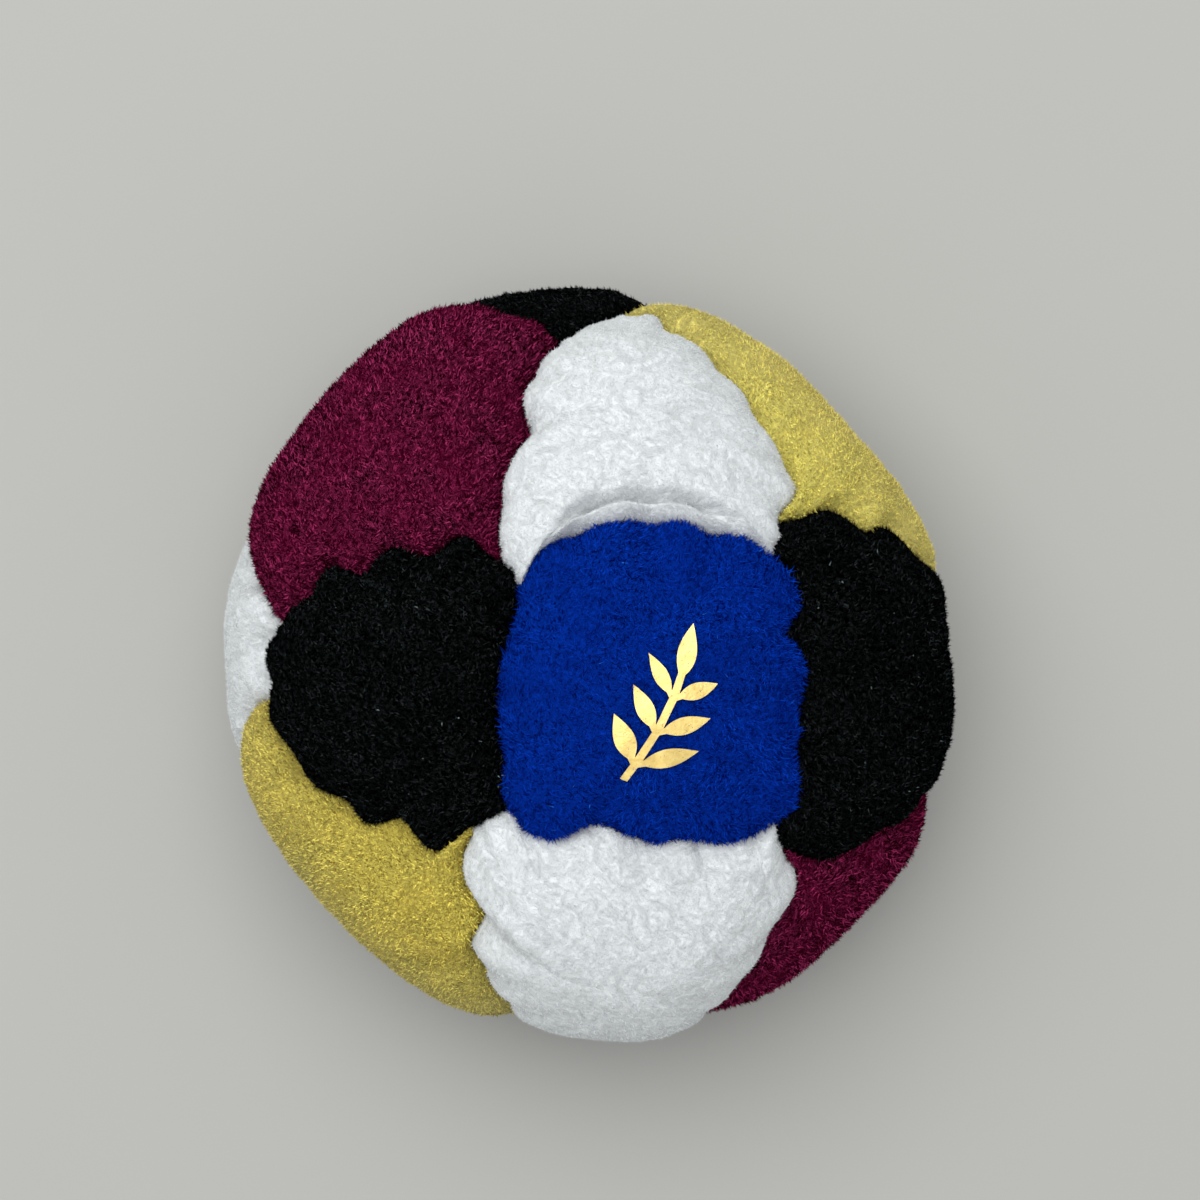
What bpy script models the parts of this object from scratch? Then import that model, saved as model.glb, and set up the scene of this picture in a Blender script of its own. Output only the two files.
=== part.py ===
"""A fourteen-panel footbag of synthetic suede, at rest on a flat surface.

Six square panels and eight clipped triangular ones meet at 24 corners. Each panel is cut with
a seam allowance, which is turned inwards and lies beside its neighbour's. A thread whips each
pair of allowances together through punched holes. Loose fill presses every panel into a crown
between its drawn-in seams. The bag is soft, so it has settled into a low, round loaf.

Lengths are in metres, +Z is up, and the origin is at the middle of the foot of the bag.
The directions up, down, nw, ne, se and sw name the six square panels as seen from above.
"""

import math

import bmesh
import bpy
from mathutils import Matrix, Vector

# Settled bag, over the crowns of its panels. It is a little longer one way than the other.
BAG_LENGTH = 0.0622
BAG_WIDTH = 0.0578
LENGTH_TURN = math.radians(117)
TOP_RISE = 0.0190
BOTTOM_DROP = 0.0145
REST_CUT = 0.0005

# Suede panels and their seams
SUEDE = 0.0008
SEAM_DRAW = 0.0020
ALLOWANCE = 0.0030
PANEL_GAP = 0.0003

# Stitching
THREAD = 0.0004
KNOT = 0.0008
THREAD_CLEARANCE = 0.0003
STITCH_PITCH = 0.0060
HOLE_BELOW_FOLD = 0.0011
HOLE = 0.0010

# Loose fill inside
FILL_CLEARANCE = 0.0005

# Foil ornament on the square panel that faces up
FOIL = 0.0003
FOIL_CLEARANCE = 0.0003
SPRIG_LENGTH = 0.0130
STEM_WIDTH = 0.0006
LEAF_LENGTH = 0.0042
LEAF_WIDTH = 0.0015
LEAF_SPACING = 0.0029
FIRST_LEAF_RISE = 0.0016
LEAF_PAIRS = 3
LEAF_LEAN = math.radians(50)
SPRIG_TURN = math.radians(-24)
STEM_BOW_SHARE = 0.07
SMALLEST_LEAF_SHARE = 0.7

# How far the body bulges towards a box: 2 is an ellipse, more is squarer
TOP_FULLNESS = 2.25
BOTTOM_FULLNESS = 2.9
CROWN_FULLNESS = 2.4
SHARP_FOLD = math.radians(50)

# Rings of each panel's crown, as shares of the way from its middle to its seams
CROWN_RING_SHARES = (0.35, 0.65, 0.88)
FILL_RING_SHARES = (0.45, 0.78)

# Where a thread passes under the allowances, as shares of the way from one hole to the next
THREAD_UNDER_SHARES = (0.35, 0.65)
SEAM_STEPS = 12
LEAF_STEPS = 6

OPPOSITE = {"up": "down", "down": "up", "nw": "se", "se": "nw", "ne": "sw", "sw": "ne"}

# Azimuth and tilt from +Z, in degrees, of the corners on the half that is seen. A corner is
# named by the square panel that it belongs to and the one that it points at. The other
# twelve corners lie opposite these.
CORNER_TURNS = {
    ("up", "nw"): (130, 17),
    ("up", "ne"): (31, 38),
    ("up", "se"): (-37, 41),
    ("up", "sw"): (-122, 27),
    ("nw", "up"): (129, 22),
    ("ne", "up"): (37, 44),
    ("se", "up"): (-41, 47),
    ("sw", "up"): (-128, 34),
    ("nw", "ne"): (93, 63),
    ("ne", "nw"): (79, 80),
    ("nw", "sw"): (174, 60),
    ("sw", "nw"): (-172, 63),
}

# How far a seam bows out of its square panel, as a share of its length
SEAM_BOW_SHARES = {
    frozenset((("up", "nw"), ("up", "ne"))): 0.12,
    frozenset((("nw", "sw"), ("nw", "up"))): -0.06,
    frozenset((("sw", "nw"), ("sw", "up"))): -0.06,
    frozenset((("sw", "up"), ("sw", "se"))): 0.05,
    frozenset((("ne", "up"), ("ne", "nw"))): -0.04,
}

# Each panel's colour, keyed by the square directions that it lies between
SQUARES = {
    "panel_blue_front": ("up", "blue"),
    "panel_blue_back": ("down", "blue"),
    "panel_magenta_nw": ("nw", "magenta"),
    "panel_magenta_se": ("se", "magenta"),
    "panel_yellow_ne": ("ne", "yellow"),
    "panel_yellow_sw": ("sw", "yellow"),
}
TRIANGLES = {
    "panel_white_front_n": ("up", "nw", "ne", "white"),
    "panel_black_front_e": ("up", "ne", "se", "black"),
    "panel_white_front_s": ("up", "se", "sw", "white"),
    "panel_black_front_w": ("up", "sw", "nw", "black"),
    "panel_black_back_n": ("down", "ne", "nw", "black"),
    "panel_white_back_e": ("down", "se", "ne", "white"),
    "panel_black_back_s": ("down", "sw", "se", "black"),
    "panel_white_back_w": ("down", "nw", "sw", "white"),
}
NEIGHBOURS = {
    "up": ("nw", "sw", "se", "ne"),
    "down": ("nw", "ne", "se", "sw"),
    "nw": ("up", "ne", "down", "sw"),
    "se": ("up", "sw", "down", "ne"),
    "ne": ("up", "se", "down", "nw"),
    "sw": ("up", "nw", "down", "se"),
}

# Base colour, roughness and metallic value
FINISHES = {
    "blue": ((0.004, 0.032, 0.38), 0.85, 0.0),
    "white": ((0.80, 0.82, 0.85), 0.85, 0.0),
    "black": ((0.004, 0.005, 0.006), 0.85, 0.0),
    "magenta": ((0.19, 0.008, 0.08), 0.85, 0.0),
    "yellow": ((0.68, 0.50, 0.10), 0.85, 0.0),
    "thread": ((0.55, 0.52, 0.47), 0.6, 0.0),
    "fill": ((0.70, 0.68, 0.62), 0.7, 0.0),
    "foil": ((0.85, 0.62, 0.22), 0.3, 1.0),
}


def clear_scene():
    """Removes whatever the scene holds."""
    for thing in list(bpy.data.objects):
        bpy.data.objects.remove(thing, do_unlink=True)


def make_materials():
    """Makes one Principled material for each finish."""
    materials = {}
    for name, (colour, roughness, metallic) in FINISHES.items():
        material = bpy.data.materials.new(name)
        material.use_nodes = True
        shader = material.node_tree.nodes["Principled BSDF"]
        shader.inputs["Base Color"].default_value = (*colour, 1)
        shader.inputs["Roughness"].default_value = roughness
        shader.inputs["Metallic"].default_value = metallic
        material.diffuse_color = (*colour, 1)
        materials[name] = material
    return materials


def add_object(name, data, material):
    """Links one named object with one material."""
    thing = bpy.data.objects.new(name, data)
    data.materials.append(material)
    bpy.context.scene.collection.objects.link(thing)
    return thing


def add_mesh(name, mesh, material):
    """Turns a bmesh into an object, smooth but for its sharp folds."""
    bmesh.ops.recalc_face_normals(mesh, faces=mesh.faces)
    data = bpy.data.meshes.new(name)
    mesh.to_mesh(data)
    mesh.free()
    data.shade_smooth()
    data.set_sharp_from_angle(angle=SHARP_FOLD)
    return add_object(name, data, material)


# The settled body


def body_point(direction, depth):
    """The point that lies a depth under the body's skin, in a direction from its middle."""
    fullness, rise = (TOP_FULLNESS, TOP_RISE) if direction.z > 0 else (BOTTOM_FULLNESS, BOTTOM_DROP)
    out = direction.to_2d().length
    reach = (out**fullness + abs(direction.z) ** fullness) ** (-1 / fullness)
    plan = Matrix.Rotation(-LENGTH_TURN, 2) @ direction.to_2d() * reach
    plan.x *= BAG_LENGTH / 2 - depth
    plan.y *= BAG_WIDTH / 2 - depth
    height = BOTTOM_DROP - REST_CUT + (rise - depth) * reach * direction.z
    return (Matrix.Rotation(LENGTH_TURN, 2) @ plan).to_3d() + Vector((0, 0, height))


def corner_direction(corner):
    """The unit direction of a named corner from the middle of the body."""
    if corner not in CORNER_TURNS:
        major, minor = corner
        return -corner_direction((OPPOSITE[major], OPPOSITE[minor]))
    azimuth, tilt = (math.radians(turn) for turn in CORNER_TURNS[corner])
    return Vector(
        (
            math.sin(tilt) * math.cos(azimuth),
            math.sin(tilt) * math.sin(azimuth),
            math.cos(tilt),
        )
    )


def seam_direction(start, end, share):
    """The direction of a point part of the way along the seam between two corners."""
    first, last = corner_direction(start), corner_direction(end)
    bow = SEAM_BOW_SHARES.get(frozenset((start, end)), 0)
    inwards = first.cross(last).normalized()
    if inwards.dot(panel_middle(square_corners(start[0]))) < 0:
        inwards.negate()
    swing = first.angle(last) * bow * math.sin(math.pi * share)
    return (first.slerp(last, share) - inwards * swing).normalized()


def seam_length(start, end):
    """The seam's length along its fold."""
    shares = [step / SEAM_STEPS for step in range(SEAM_STEPS + 1)]
    points = [body_point(seam_direction(start, end, share), SEAM_DRAW) for share in shares]
    return sum((b - a).length for a, b in zip(points, points[1:]))


class Station:
    """A place on a panel's fold: the point, the outward direction and the way into the panel."""

    def __init__(self, start, end, share):
        near_share = 0.01
        self.out = seam_direction(start, end, share)
        self.point = body_point(self.out, SEAM_DRAW)
        ahead = body_point(seam_direction(start, end, min(share + near_share, 1)), SEAM_DRAW)
        behind = body_point(seam_direction(start, end, max(share - near_share, 0)), SEAM_DRAW)
        self.into = self.out.cross(ahead - behind).normalized()

    def mitre(self, other):
        """Turns the way into the panel to suit both seams that meet at a corner."""
        self.into = (self.into + other.into) / (1 + self.into.dot(other.into))

    def at(self, inward, below):
        """The point that lies so far into the panel and so far below the fold."""
        return self.point + self.into * inward - self.out * below


def loop_stations(corners, side_shares):
    """All stations round a panel, each corner's mitred between its two seams."""
    sides = list(zip(corners, corners[1:] + corners[:1]))
    stations = []
    for (start, end), (before, _) in zip(sides, sides[-1:] + sides[:-1]):
        side = [Station(start, end, share) for share in side_shares(start, end)]
        side[0].mitre(Station(before, start, 1))
        stations += side
    return stations


def stitch_shares(start, end):
    """The middles of the stitch holes, evenly spaced, as shares of the seam."""
    count = max(1, round(seam_length(start, end) / STITCH_PITCH))
    return [(stitch + 1 / 2) / count for stitch in range(count)]


def hole_shares(start, end):
    """The corner, then both edges of each stitch hole, as shares of the seam."""
    half = HOLE / 2 / seam_length(start, end)
    shares = [0]
    for middle in stitch_shares(start, end):
        shares += [middle - half, middle + half]
    return shares


def crown_sink(share):
    """How far the skin sinks from crown to seam, as a share of the draw of the seam."""
    return 1 - (1 - share**CROWN_FULLNESS) ** (1 / CROWN_FULLNESS)


def panel_middle(corners):
    """The direction of a panel's middle."""
    return sum((corner_direction(corner) for corner in corners), Vector()).normalized()


def crown_point(middle, edge, share, under):
    """A point of a panel's crown, or so far under it, and never below the floor."""
    direction = middle.lerp(edge, share).normalized()
    point = body_point(direction, SEAM_DRAW * crown_sink(share) + under)
    point.z = max(point.z, under)
    return point


# Panels


def ring_edges(mesh, points):
    """Adds a closed ring of vertices and edges."""
    ring = [mesh.verts.new(point) for point in points]
    return [mesh.edges.new(pair) for pair in zip(ring, ring[1:] + ring[:1])]


def bridge_rings(mesh, rings):
    """Joins each ring of edges to the next with a band of faces."""
    bands = []
    for inner, outer in zip(rings, rings[1:]):
        bands.append(bmesh.ops.bridge_loops(mesh, edges=inner + outer)["faces"])
    return bands


def cap_ring(mesh, ring, point):
    """Closes a ring with a fan round one middle point."""
    middle = mesh.verts.new(point)
    for edge in ring:
        mesh.faces.new((*edge.verts, middle))


def square_corners(name):
    """The corners of a square panel, in order."""
    return [(name, neighbour) for neighbour in NEIGHBOURS[name]]


def triangle_corners(first, second, third):
    """The corners of a clipped triangular panel, in order."""
    corners = []
    for before, here, after in ((third, first, second), (first, second, third), (second, third, first)):
        corners += [(here, before), (here, after)]
    return corners


def turned_left(corners):
    """The corners in the order that keeps the panel on the left as one walks round it."""
    middle = panel_middle(corners)
    first, second = (corner_direction(corner) for corner in corners[:2])
    if middle.dot(first.cross(second)) > 0:
        return corners
    return corners[::-1]


def panel_corners():
    """Every panel's name with its corners and its finish."""
    panels = {}
    for name, (square, finish) in SQUARES.items():
        panels[name] = (turned_left(square_corners(square)), finish)
    for name, (*sides, finish) in TRIANGLES.items():
        panels[name] = (turned_left(triangle_corners(*sides)), finish)
    return panels


def add_panel(name, corners, material):
    """One suede panel: its crown, its turned allowance and the stitch holes through that."""
    stations = loop_stations(corners, hole_shares)
    middle = panel_middle(corners)
    mesh = bmesh.new()
    rings = []
    for share in CROWN_RING_SHARES:
        rings.append(ring_edges(mesh, [crown_point(middle, s.out, share, 0) for s in stations]))
    for below in (0, HOLE_BELOW_FOLD, HOLE_BELOW_FOLD + HOLE, ALLOWANCE):
        rings.append(ring_edges(mesh, [s.at(PANEL_GAP / 2, below) for s in stations]))
    bands = bridge_rings(mesh, rings)
    cap_ring(mesh, rings[0], crown_point(middle, middle, 0, 0))
    punch_holes(mesh, bands[-2], corners)
    panel = add_mesh(name, mesh, material)
    wall = panel.modifiers.new("Suede", "SOLIDIFY")
    wall.thickness = SUEDE
    wall.offset = -1
    wall.use_even_offset = True
    return panel


def punch_holes(mesh, band, corners):
    """Removes the face of each stitch hole from the band that holds them."""
    holes = []
    for start, end in zip(corners, corners[1:] + corners[:1]):
        for share in stitch_shares(start, end):
            centre = Station(start, end, share).at(PANEL_GAP / 2, HOLE_BELOW_FOLD + HOLE / 2)
            holes.append(min(band, key=lambda face: (face.calc_center_median() - centre).length))
    bmesh.ops.delete(mesh, geom=holes, context="FACES")


# Stitching


def all_seams(panels):
    """Each seam once: the panels that it joins, as a name, with its two corners."""
    owners = {}
    seams = {}
    for name, (corners, _) in panels.items():
        for start, end in zip(corners, corners[1:] + corners[:1]):
            first = owners.setdefault(frozenset((start, end)), name)
            if first != name:
                seams[f"{first}_{name}".replace("panel_", "")] = (start, end)
    return seams


def thread_path(start, end):
    """The whip stitch's points, and the radius at each, from one knot to the other."""
    holes = stitch_shares(start, end)
    side = PANEL_GAP / 2 + SUEDE + THREAD_CLEARANCE + THREAD / 2
    hole_depth = HOLE_BELOW_FOLD + HOLE / 2
    under = ALLOWANCE + THREAD_CLEARANCE + THREAD / 2
    knot = PANEL_GAP / 2 + SUEDE + THREAD_CLEARANCE + KNOT / 2
    knot_stops = ((knot + KNOT / 2, THREAD), (knot, KNOT), (knot - KNOT / 2, THREAD))
    first = Station(start, end, holes[0])
    path = [(first.at(-inward, hole_depth), size / 2) for inward, size in knot_stops]
    for share, next_share in zip(holes, holes[1:]):
        going, coming = (share + (next_share - share) * way for way in THREAD_UNDER_SHARES)
        stops = ((share, side, hole_depth), (going, side, under))
        stops += ((coming, -side, under), (next_share, -side, hole_depth))
        path += [(Station(start, end, stop).at(inward, below), THREAD / 2) for stop, inward, below in stops]
    last = Station(start, end, holes[-1])
    path += [(last.at(inward, hole_depth), size / 2) for inward, size in reversed(knot_stops)]
    return path


def add_thread(name, start, end, material):
    """One seam's thread as a beveled curve with filled ends."""
    path = thread_path(start, end)
    data = bpy.data.curves.new(name, "CURVE")
    data.dimensions = "3D"
    data.bevel_depth = 1
    data.bevel_resolution = 0
    data.use_fill_caps = True
    spline = data.splines.new("POLY")
    spline.points.add(len(path) - 1)
    for point, (place, radius) in zip(spline.points, path):
        point.co = (*place, 1)
        point.radius = radius
    return add_object(name, data, material)


# Fill


def add_fill(panels, material):
    """The loose fill: a lobe in every panel, parted by grooves for the allowances."""
    groove_side = PANEL_GAP / 2 + SUEDE + THREAD_CLEARANCE + KNOT + 2 * FILL_CLEARANCE
    groove_floor = ALLOWANCE + THREAD_CLEARANCE + THREAD + FILL_CLEARANCE
    under = SUEDE + FILL_CLEARANCE
    mesh = bmesh.new()
    for corners, _ in panels.values():
        stations = loop_stations(corners, fill_shares)
        middle = panel_middle(corners)
        rings = []
        for share in FILL_RING_SHARES:
            rings.append(ring_edges(mesh, [crown_point(middle, s.out, share, under) for s in stations]))
        rings.append(ring_edges(mesh, [s.at(groove_side, groove_floor) for s in stations]))
        rings.append(ring_edges(mesh, [s.at(0, groove_floor) for s in stations]))
        bridge_rings(mesh, rings)
        cap_ring(mesh, rings[0], crown_point(middle, middle, 0, under))
    bmesh.ops.remove_doubles(mesh, verts=mesh.verts, dist=PANEL_GAP / 10)
    return add_mesh("granular_fill", mesh, material)


def fill_shares(start, end):
    """The corner of a seam, and the middle of one with more than a single stitch."""
    return [0, 1 / 2] if len(stitch_shares(start, end)) > 1 else [0]


# Foil ornament


def leaf_outline(base, direction, size_share):
    """One leaf's outline, counter-clockwise from its base round its tip and back."""
    across = Vector((-direction.y, direction.x))
    shares = [step / LEAF_STEPS for step in range(1, LEAF_STEPS)]
    length = LEAF_LENGTH * size_share
    half = LEAF_WIDTH * size_share / 2
    going = [base + direction * length * way - across * half * math.sin(math.pi * way) for way in shares]
    coming = [base + direction * length * way + across * half * math.sin(math.pi * way) for way in shares]
    return [*going, base + direction * length, *reversed(coming)]


def sprig_outline():
    """The sprig's outline, upright: up its right side, round the end leaf, down its left."""
    foot = Vector((0, -SPRIG_LENGTH / 2))
    lean = Vector((math.sin(LEAF_LEAN), math.cos(LEAF_LEAN)))
    right = [foot + Vector((STEM_WIDTH / 2, 0))]
    for pair in range(LEAF_PAIRS):
        size_share = 1 - (1 - SMALLEST_LEAF_SHARE) * pair / LEAF_PAIRS
        base = foot + Vector((STEM_WIDTH / 2, FIRST_LEAF_RISE + LEAF_SPACING * pair))
        half_neck = Vector((0, STEM_WIDTH / 2))
        right += [base - half_neck, *leaf_outline(base, lean, size_share), base + half_neck]
    end_leaf = leaf_outline(Vector((0, SPRIG_LENGTH / 2 - LEAF_LENGTH)), Vector((0, 1)), 1)
    left = [Vector((-point.x, point.y)) for point in reversed(right)]
    return right + end_leaf + left


def add_foil(material):
    """The foil sprig, laid over the crown of the panel that faces up."""
    centre = body_point(panel_middle(square_corners("up")), 0).to_2d()
    turn = Matrix.Rotation(SPRIG_TURN, 2)
    mesh = bmesh.new()
    verts = []
    for point in sprig_outline():
        bow = STEM_BOW_SHARE * SPRIG_LENGTH * math.cos(math.pi * point.y / SPRIG_LENGTH)
        place = centre + turn @ (point + Vector((bow, 0)))
        verts.append(mesh.verts.new(lay_on_top(place, FOIL_CLEARANCE)))
    face = mesh.faces.new(verts)
    face.normal_update()
    bmesh.ops.triangulate(mesh, faces=[face])
    sprig = add_mesh("foil_sprig", mesh, material)
    sheet = sprig.modifiers.new("Foil", "SOLIDIFY")
    sheet.thickness = FOIL
    sheet.offset = 1
    return sprig


def lay_on_top(place, above):
    """The point at that height above the body's skin, straight over a place in plan."""
    plan = Matrix.Rotation(-LENGTH_TURN, 2) @ place
    out = math.hypot(plan.x / (BAG_LENGTH / 2), plan.y / (BAG_WIDTH / 2))
    height = TOP_RISE * (1 - out**TOP_FULLNESS) ** (1 / TOP_FULLNESS)
    return Vector((place.x, place.y, BOTTOM_DROP - REST_CUT + height + above))


def main():
    """Builds the whole bag."""
    clear_scene()
    materials = make_materials()
    panels = panel_corners()
    for name, (corners, finish) in panels.items():
        add_panel(name, corners, materials[finish])
    for name, (start, end) in all_seams(panels).items():
        add_thread(f"thread_{name}", start, end, materials["thread"])
    add_fill(panels, materials["fill"])
    add_foil(materials["foil"])


main()
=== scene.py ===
"""Dresses a fourteen-panel suede footbag that lies settled on a pale surface.

Each panel is a closed shell of suede: a crown pressed up by the loose fill, a fold that waves
and dips with the stitches, and a turned allowance. A nap of short fibres stands on each crown.
A gold foil sprig lies on the blue panel that faces up. Lengths are in metres unless named mm.
"""

import logging
import math
from dataclasses import dataclass, field
from enum import Enum

import bmesh
import bpy
import numpy as np
from mathutils import Matrix, Vector
from mathutils.bvhtree import BVHTree


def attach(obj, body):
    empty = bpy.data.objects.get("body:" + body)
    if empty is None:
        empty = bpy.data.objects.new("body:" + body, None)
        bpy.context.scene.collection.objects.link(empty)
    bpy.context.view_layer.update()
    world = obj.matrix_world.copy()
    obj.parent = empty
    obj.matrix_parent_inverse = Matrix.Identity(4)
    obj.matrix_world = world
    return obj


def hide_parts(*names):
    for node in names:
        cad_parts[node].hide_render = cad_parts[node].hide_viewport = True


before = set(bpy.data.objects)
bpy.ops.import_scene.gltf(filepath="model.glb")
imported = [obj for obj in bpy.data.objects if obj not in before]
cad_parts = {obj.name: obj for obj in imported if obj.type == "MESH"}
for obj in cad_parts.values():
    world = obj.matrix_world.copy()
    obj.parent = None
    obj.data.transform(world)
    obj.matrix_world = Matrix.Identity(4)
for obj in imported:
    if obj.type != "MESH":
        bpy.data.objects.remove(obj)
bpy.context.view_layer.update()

LOG = logging.getLogger("footbag")
MM = 0.001
SHARP_ANGLE = math.radians(40)

Array = np.ndarray
Corner = tuple[str, str]
Pair = tuple[float, float]
Triple = tuple[float, float, float]
Piece = bpy.types.Object
Material = bpy.types.Material
Socket = bpy.types.NodeSocket


class Square(Enum):
    """The way that each of the six square panels faces, as seen from above."""

    UP = "up"
    DOWN = "down"
    NW = "nw"
    NE = "ne"
    SE = "se"
    SW = "sw"


OPPOSITE = {"up": "down", "down": "up", "nw": "se", "se": "nw", "ne": "sw", "sw": "ne"}
NEIGHBOURS = {
    Square.UP: ("nw", "sw", "se", "ne"),
    Square.DOWN: ("nw", "ne", "se", "sw"),
    Square.NW: ("up", "ne", "down", "sw"),
    Square.SE: ("up", "sw", "down", "ne"),
    Square.NE: ("up", "se", "down", "nw"),
    Square.SW: ("up", "nw", "down", "se"),
}

# Azimuth and tilt from +Z, in degrees, of the corners on the half that is seen. A corner is
# named by its square panel and the square that it points at. The others lie opposite these.
CORNER_TURNS = {
    ("up", "nw"): (130, 17),
    ("up", "ne"): (31, 38),
    ("up", "se"): (-37, 41),
    ("up", "sw"): (-122, 27),
    ("nw", "up"): (129, 22),
    ("ne", "up"): (37, 44),
    ("se", "up"): (-41, 47),
    ("sw", "up"): (-128, 34),
    ("nw", "ne"): (93, 63),
    ("ne", "nw"): (79, 80),
    ("nw", "sw"): (174, 60),
    ("sw", "nw"): (-172, 63),
}

# How far a seam bows out of its square panel, as a share of its length
SEAM_BOW_SHARES = {
    frozenset((("up", "nw"), ("up", "ne"))): 0.12,
    frozenset((("nw", "sw"), ("nw", "up"))): -0.06,
    frozenset((("sw", "nw"), ("sw", "up"))): -0.06,
    frozenset((("sw", "up"), ("sw", "se"))): 0.05,
    frozenset((("ne", "up"), ("ne", "nw"))): -0.04,
}

# The wavy lines where two panels meet, as pixels of the 1200 pixel frame
SEAM_TRACES = {
    (("up", "nw"), ("up", "ne")): (
        (515, 585), (525, 570), (556, 544), (593, 531), (632, 524), (675, 527), (719, 537), (778, 553),
    ),
    (("up", "ne"), ("up", "se")): (
        (778, 553), (784, 581), (792, 607), (784, 624), (794, 659), (798, 693), (790, 711), (793, 728),
        (792, 776), (785, 826),
    ),
    (("up", "sw"), ("up", "se")): (
        (502, 818), (528, 827), (555, 832), (603, 821), (652, 840), (682, 834), (723, 840), (785, 826),
    ),
    (("up", "nw"), ("up", "sw")): (
        (515, 585), (521, 600), (506, 650), (500, 693), (502, 737), (505, 780), (502, 818),
    ),
    (("nw", "up"), ("nw", "ne")): (
        (497, 558), (505, 500), (503, 482), (515, 460), (530, 432), (525, 400), (540, 365), (562, 335),
    ),
    (("ne", "nw"), ("ne", "up")): (
        (642, 322), (677, 346), (714, 374), (732, 402), (751, 421), (759, 444), (783, 467), (787, 488),
        (782, 514),
    ),
    (("nw", "sw"), ("nw", "up")): (
        (278, 625), (310, 600), (337, 571), (362, 574), (397, 550), (425, 556), (465, 539), (497, 558),
    ),
    (("sw", "nw"), ("sw", "up")): (
        (277, 706), (321, 776), (355, 800), (373, 816), (405, 818), (433, 843), (465, 836),
    ),
    (("sw", "up"), ("sw", "se")): (
        (465, 836), (467, 879), (486, 908), (474, 937), (490, 979), (512, 1020),
    ),
    (("ne", "up"), ("ne", "se")): (
        (785, 515), (804, 519), (826, 511), (846, 517), (864, 534), (884, 525), (913, 556), (922, 565),
        (929, 573),
    ),
    (("se", "up"), ("se", "ne")): (
        (796, 865), (812, 857), (834, 860), (859, 842), (878, 831), (892, 832), (910, 814), (935, 788),
    ),
    (("se", "up"), ("se", "sw")): (
        (795, 859), (793, 902), (772, 933), (756, 974), (710, 1007), (702, 1017),
    ),
    (("nw", "sw"), ("sw", "nw")): (
        (283, 624), (278, 638), (275, 652), (274, 668), (274, 684), (276, 698),
    ),
}

# How far the outline stands out of the plain loaf, in mm, by azimuth in degrees
SLOUCH = {
    0: -0.1, 10: 0.4, 19: 2.5, 28: 0.9, 40: -0.6, 50: -0.7, 60: 0.3, 70: 1.1, 80: 1.5, 90: 0.3,
    100: 0.2, 113: 1.6, 128: -0.3, 140: -0.5, 153: 0.5, 163: 0.7, 172: 0.4, 184: 0.1, 196: 2.2,
    209: 0.0, 222: -0.8, 236: -0.9, 248: 0.1, 256: 0.4, 270: -0.5, 286: -0.2, 300: -0.5, 311: -1.3,
    321: -0.8, 331: 0.8, 345: 0.5,
}

# How far the rim is turned about the bag's middle, in degrees, by azimuth in degrees
RIM_TURNS = {
    -14: 0.0, 4: -1.5, 20: -4.5, 40: 0.0, 60: 0.0, 77: 4.6, 94: 0.0, 172: 0.0, 190: -3.2, 208: 0.0,
}

# How far the skin near the rim slid up over it as the bag settled, in degrees of the loaf's
# section, by azimuth in degrees
RIM_SLIDES = {52: 0.0, 68: 1.5, 82: 5.0, 94: 1.0, 106: 0.0}

# The seam that white_front_n bulges over, with a smooth strip below the bulge
TUCKED_SEAMS = {"white_front_n": (("up", "nw"), ("up", "ne"))}


def unit(vectors: Array) -> Array:
    """The vectors scaled to a length of one."""
    return vectors / np.linalg.norm(vectors, axis=-1, keepdims=True)


def smooth_step(low: float, high: float, values: Array) -> Array:
    """A soft step from 0 at low to 1 at high."""
    share = np.clip((values - low) / (high - low), 0, 1)
    return share * share * (3 - 2 * share)


def running_mean(values: Array, width: int) -> Array:
    """The mean of an odd number of neighbours, at each of the values."""
    padded = np.pad(values, width // 2, mode="edge")
    return np.convolve(padded, np.full(width, 1 / width), mode="valid")


def lumps(points: Array, size: float, seed: int) -> Array:
    """A soft random relief, about -1 to 1, whose bumps are about one size apart.

    Args:
        points: places to read it at, on the last axis.
        size: metres from bump to bump.
        seed: picks the relief.

    Returns:
        The relief at each place.
    """
    waves = 7
    rng = np.random.default_rng(seed)
    ways = unit(rng.normal(size=(waves, points.shape[-1])))
    phases = rng.uniform(0, 2 * math.pi, waves)
    stretch = rng.uniform(0.8, 1.3, waves)
    turns = points @ (ways * stretch[:, None]).T * (2 * math.pi / size) + phases
    return np.sin(turns).sum(-1) / math.sqrt(2 * waves)


@dataclass(frozen=True)
class PhotoView:
    """The camera, straight above the bag."""

    over: Pair = (0.000968, 0.005403)
    height: float = 0.330
    frame_pixels: float = 1200.0
    focal_pixels: float = 3918.0
    sensor: float = 36.0

    def pixels(self, points: Array) -> Array:
        """Where points show in the frame.

        Args:
            points: places in metres, on the last axis.

        Returns:
            Pixels across and down.
        """
        scale = self.focal_pixels / (self.height - points[..., 2])
        half = self.frame_pixels / 2
        across = half + scale * (points[..., 0] - self.over[0])
        down = half - scale * (points[..., 1] - self.over[1])
        return np.stack((across, down), -1)

    def build(self) -> None:
        """Makes the camera the scene's own."""
        data = bpy.data.cameras.new("camera")
        data.sensor_width = self.sensor
        data.lens = self.focal_pixels / self.frame_pixels * self.sensor
        data.clip_start = 0.01
        camera = bpy.data.objects.new("camera", data)
        camera.location = (*self.over, self.height)
        bpy.context.scene.collection.objects.link(camera)
        bpy.context.scene.camera = camera


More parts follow.
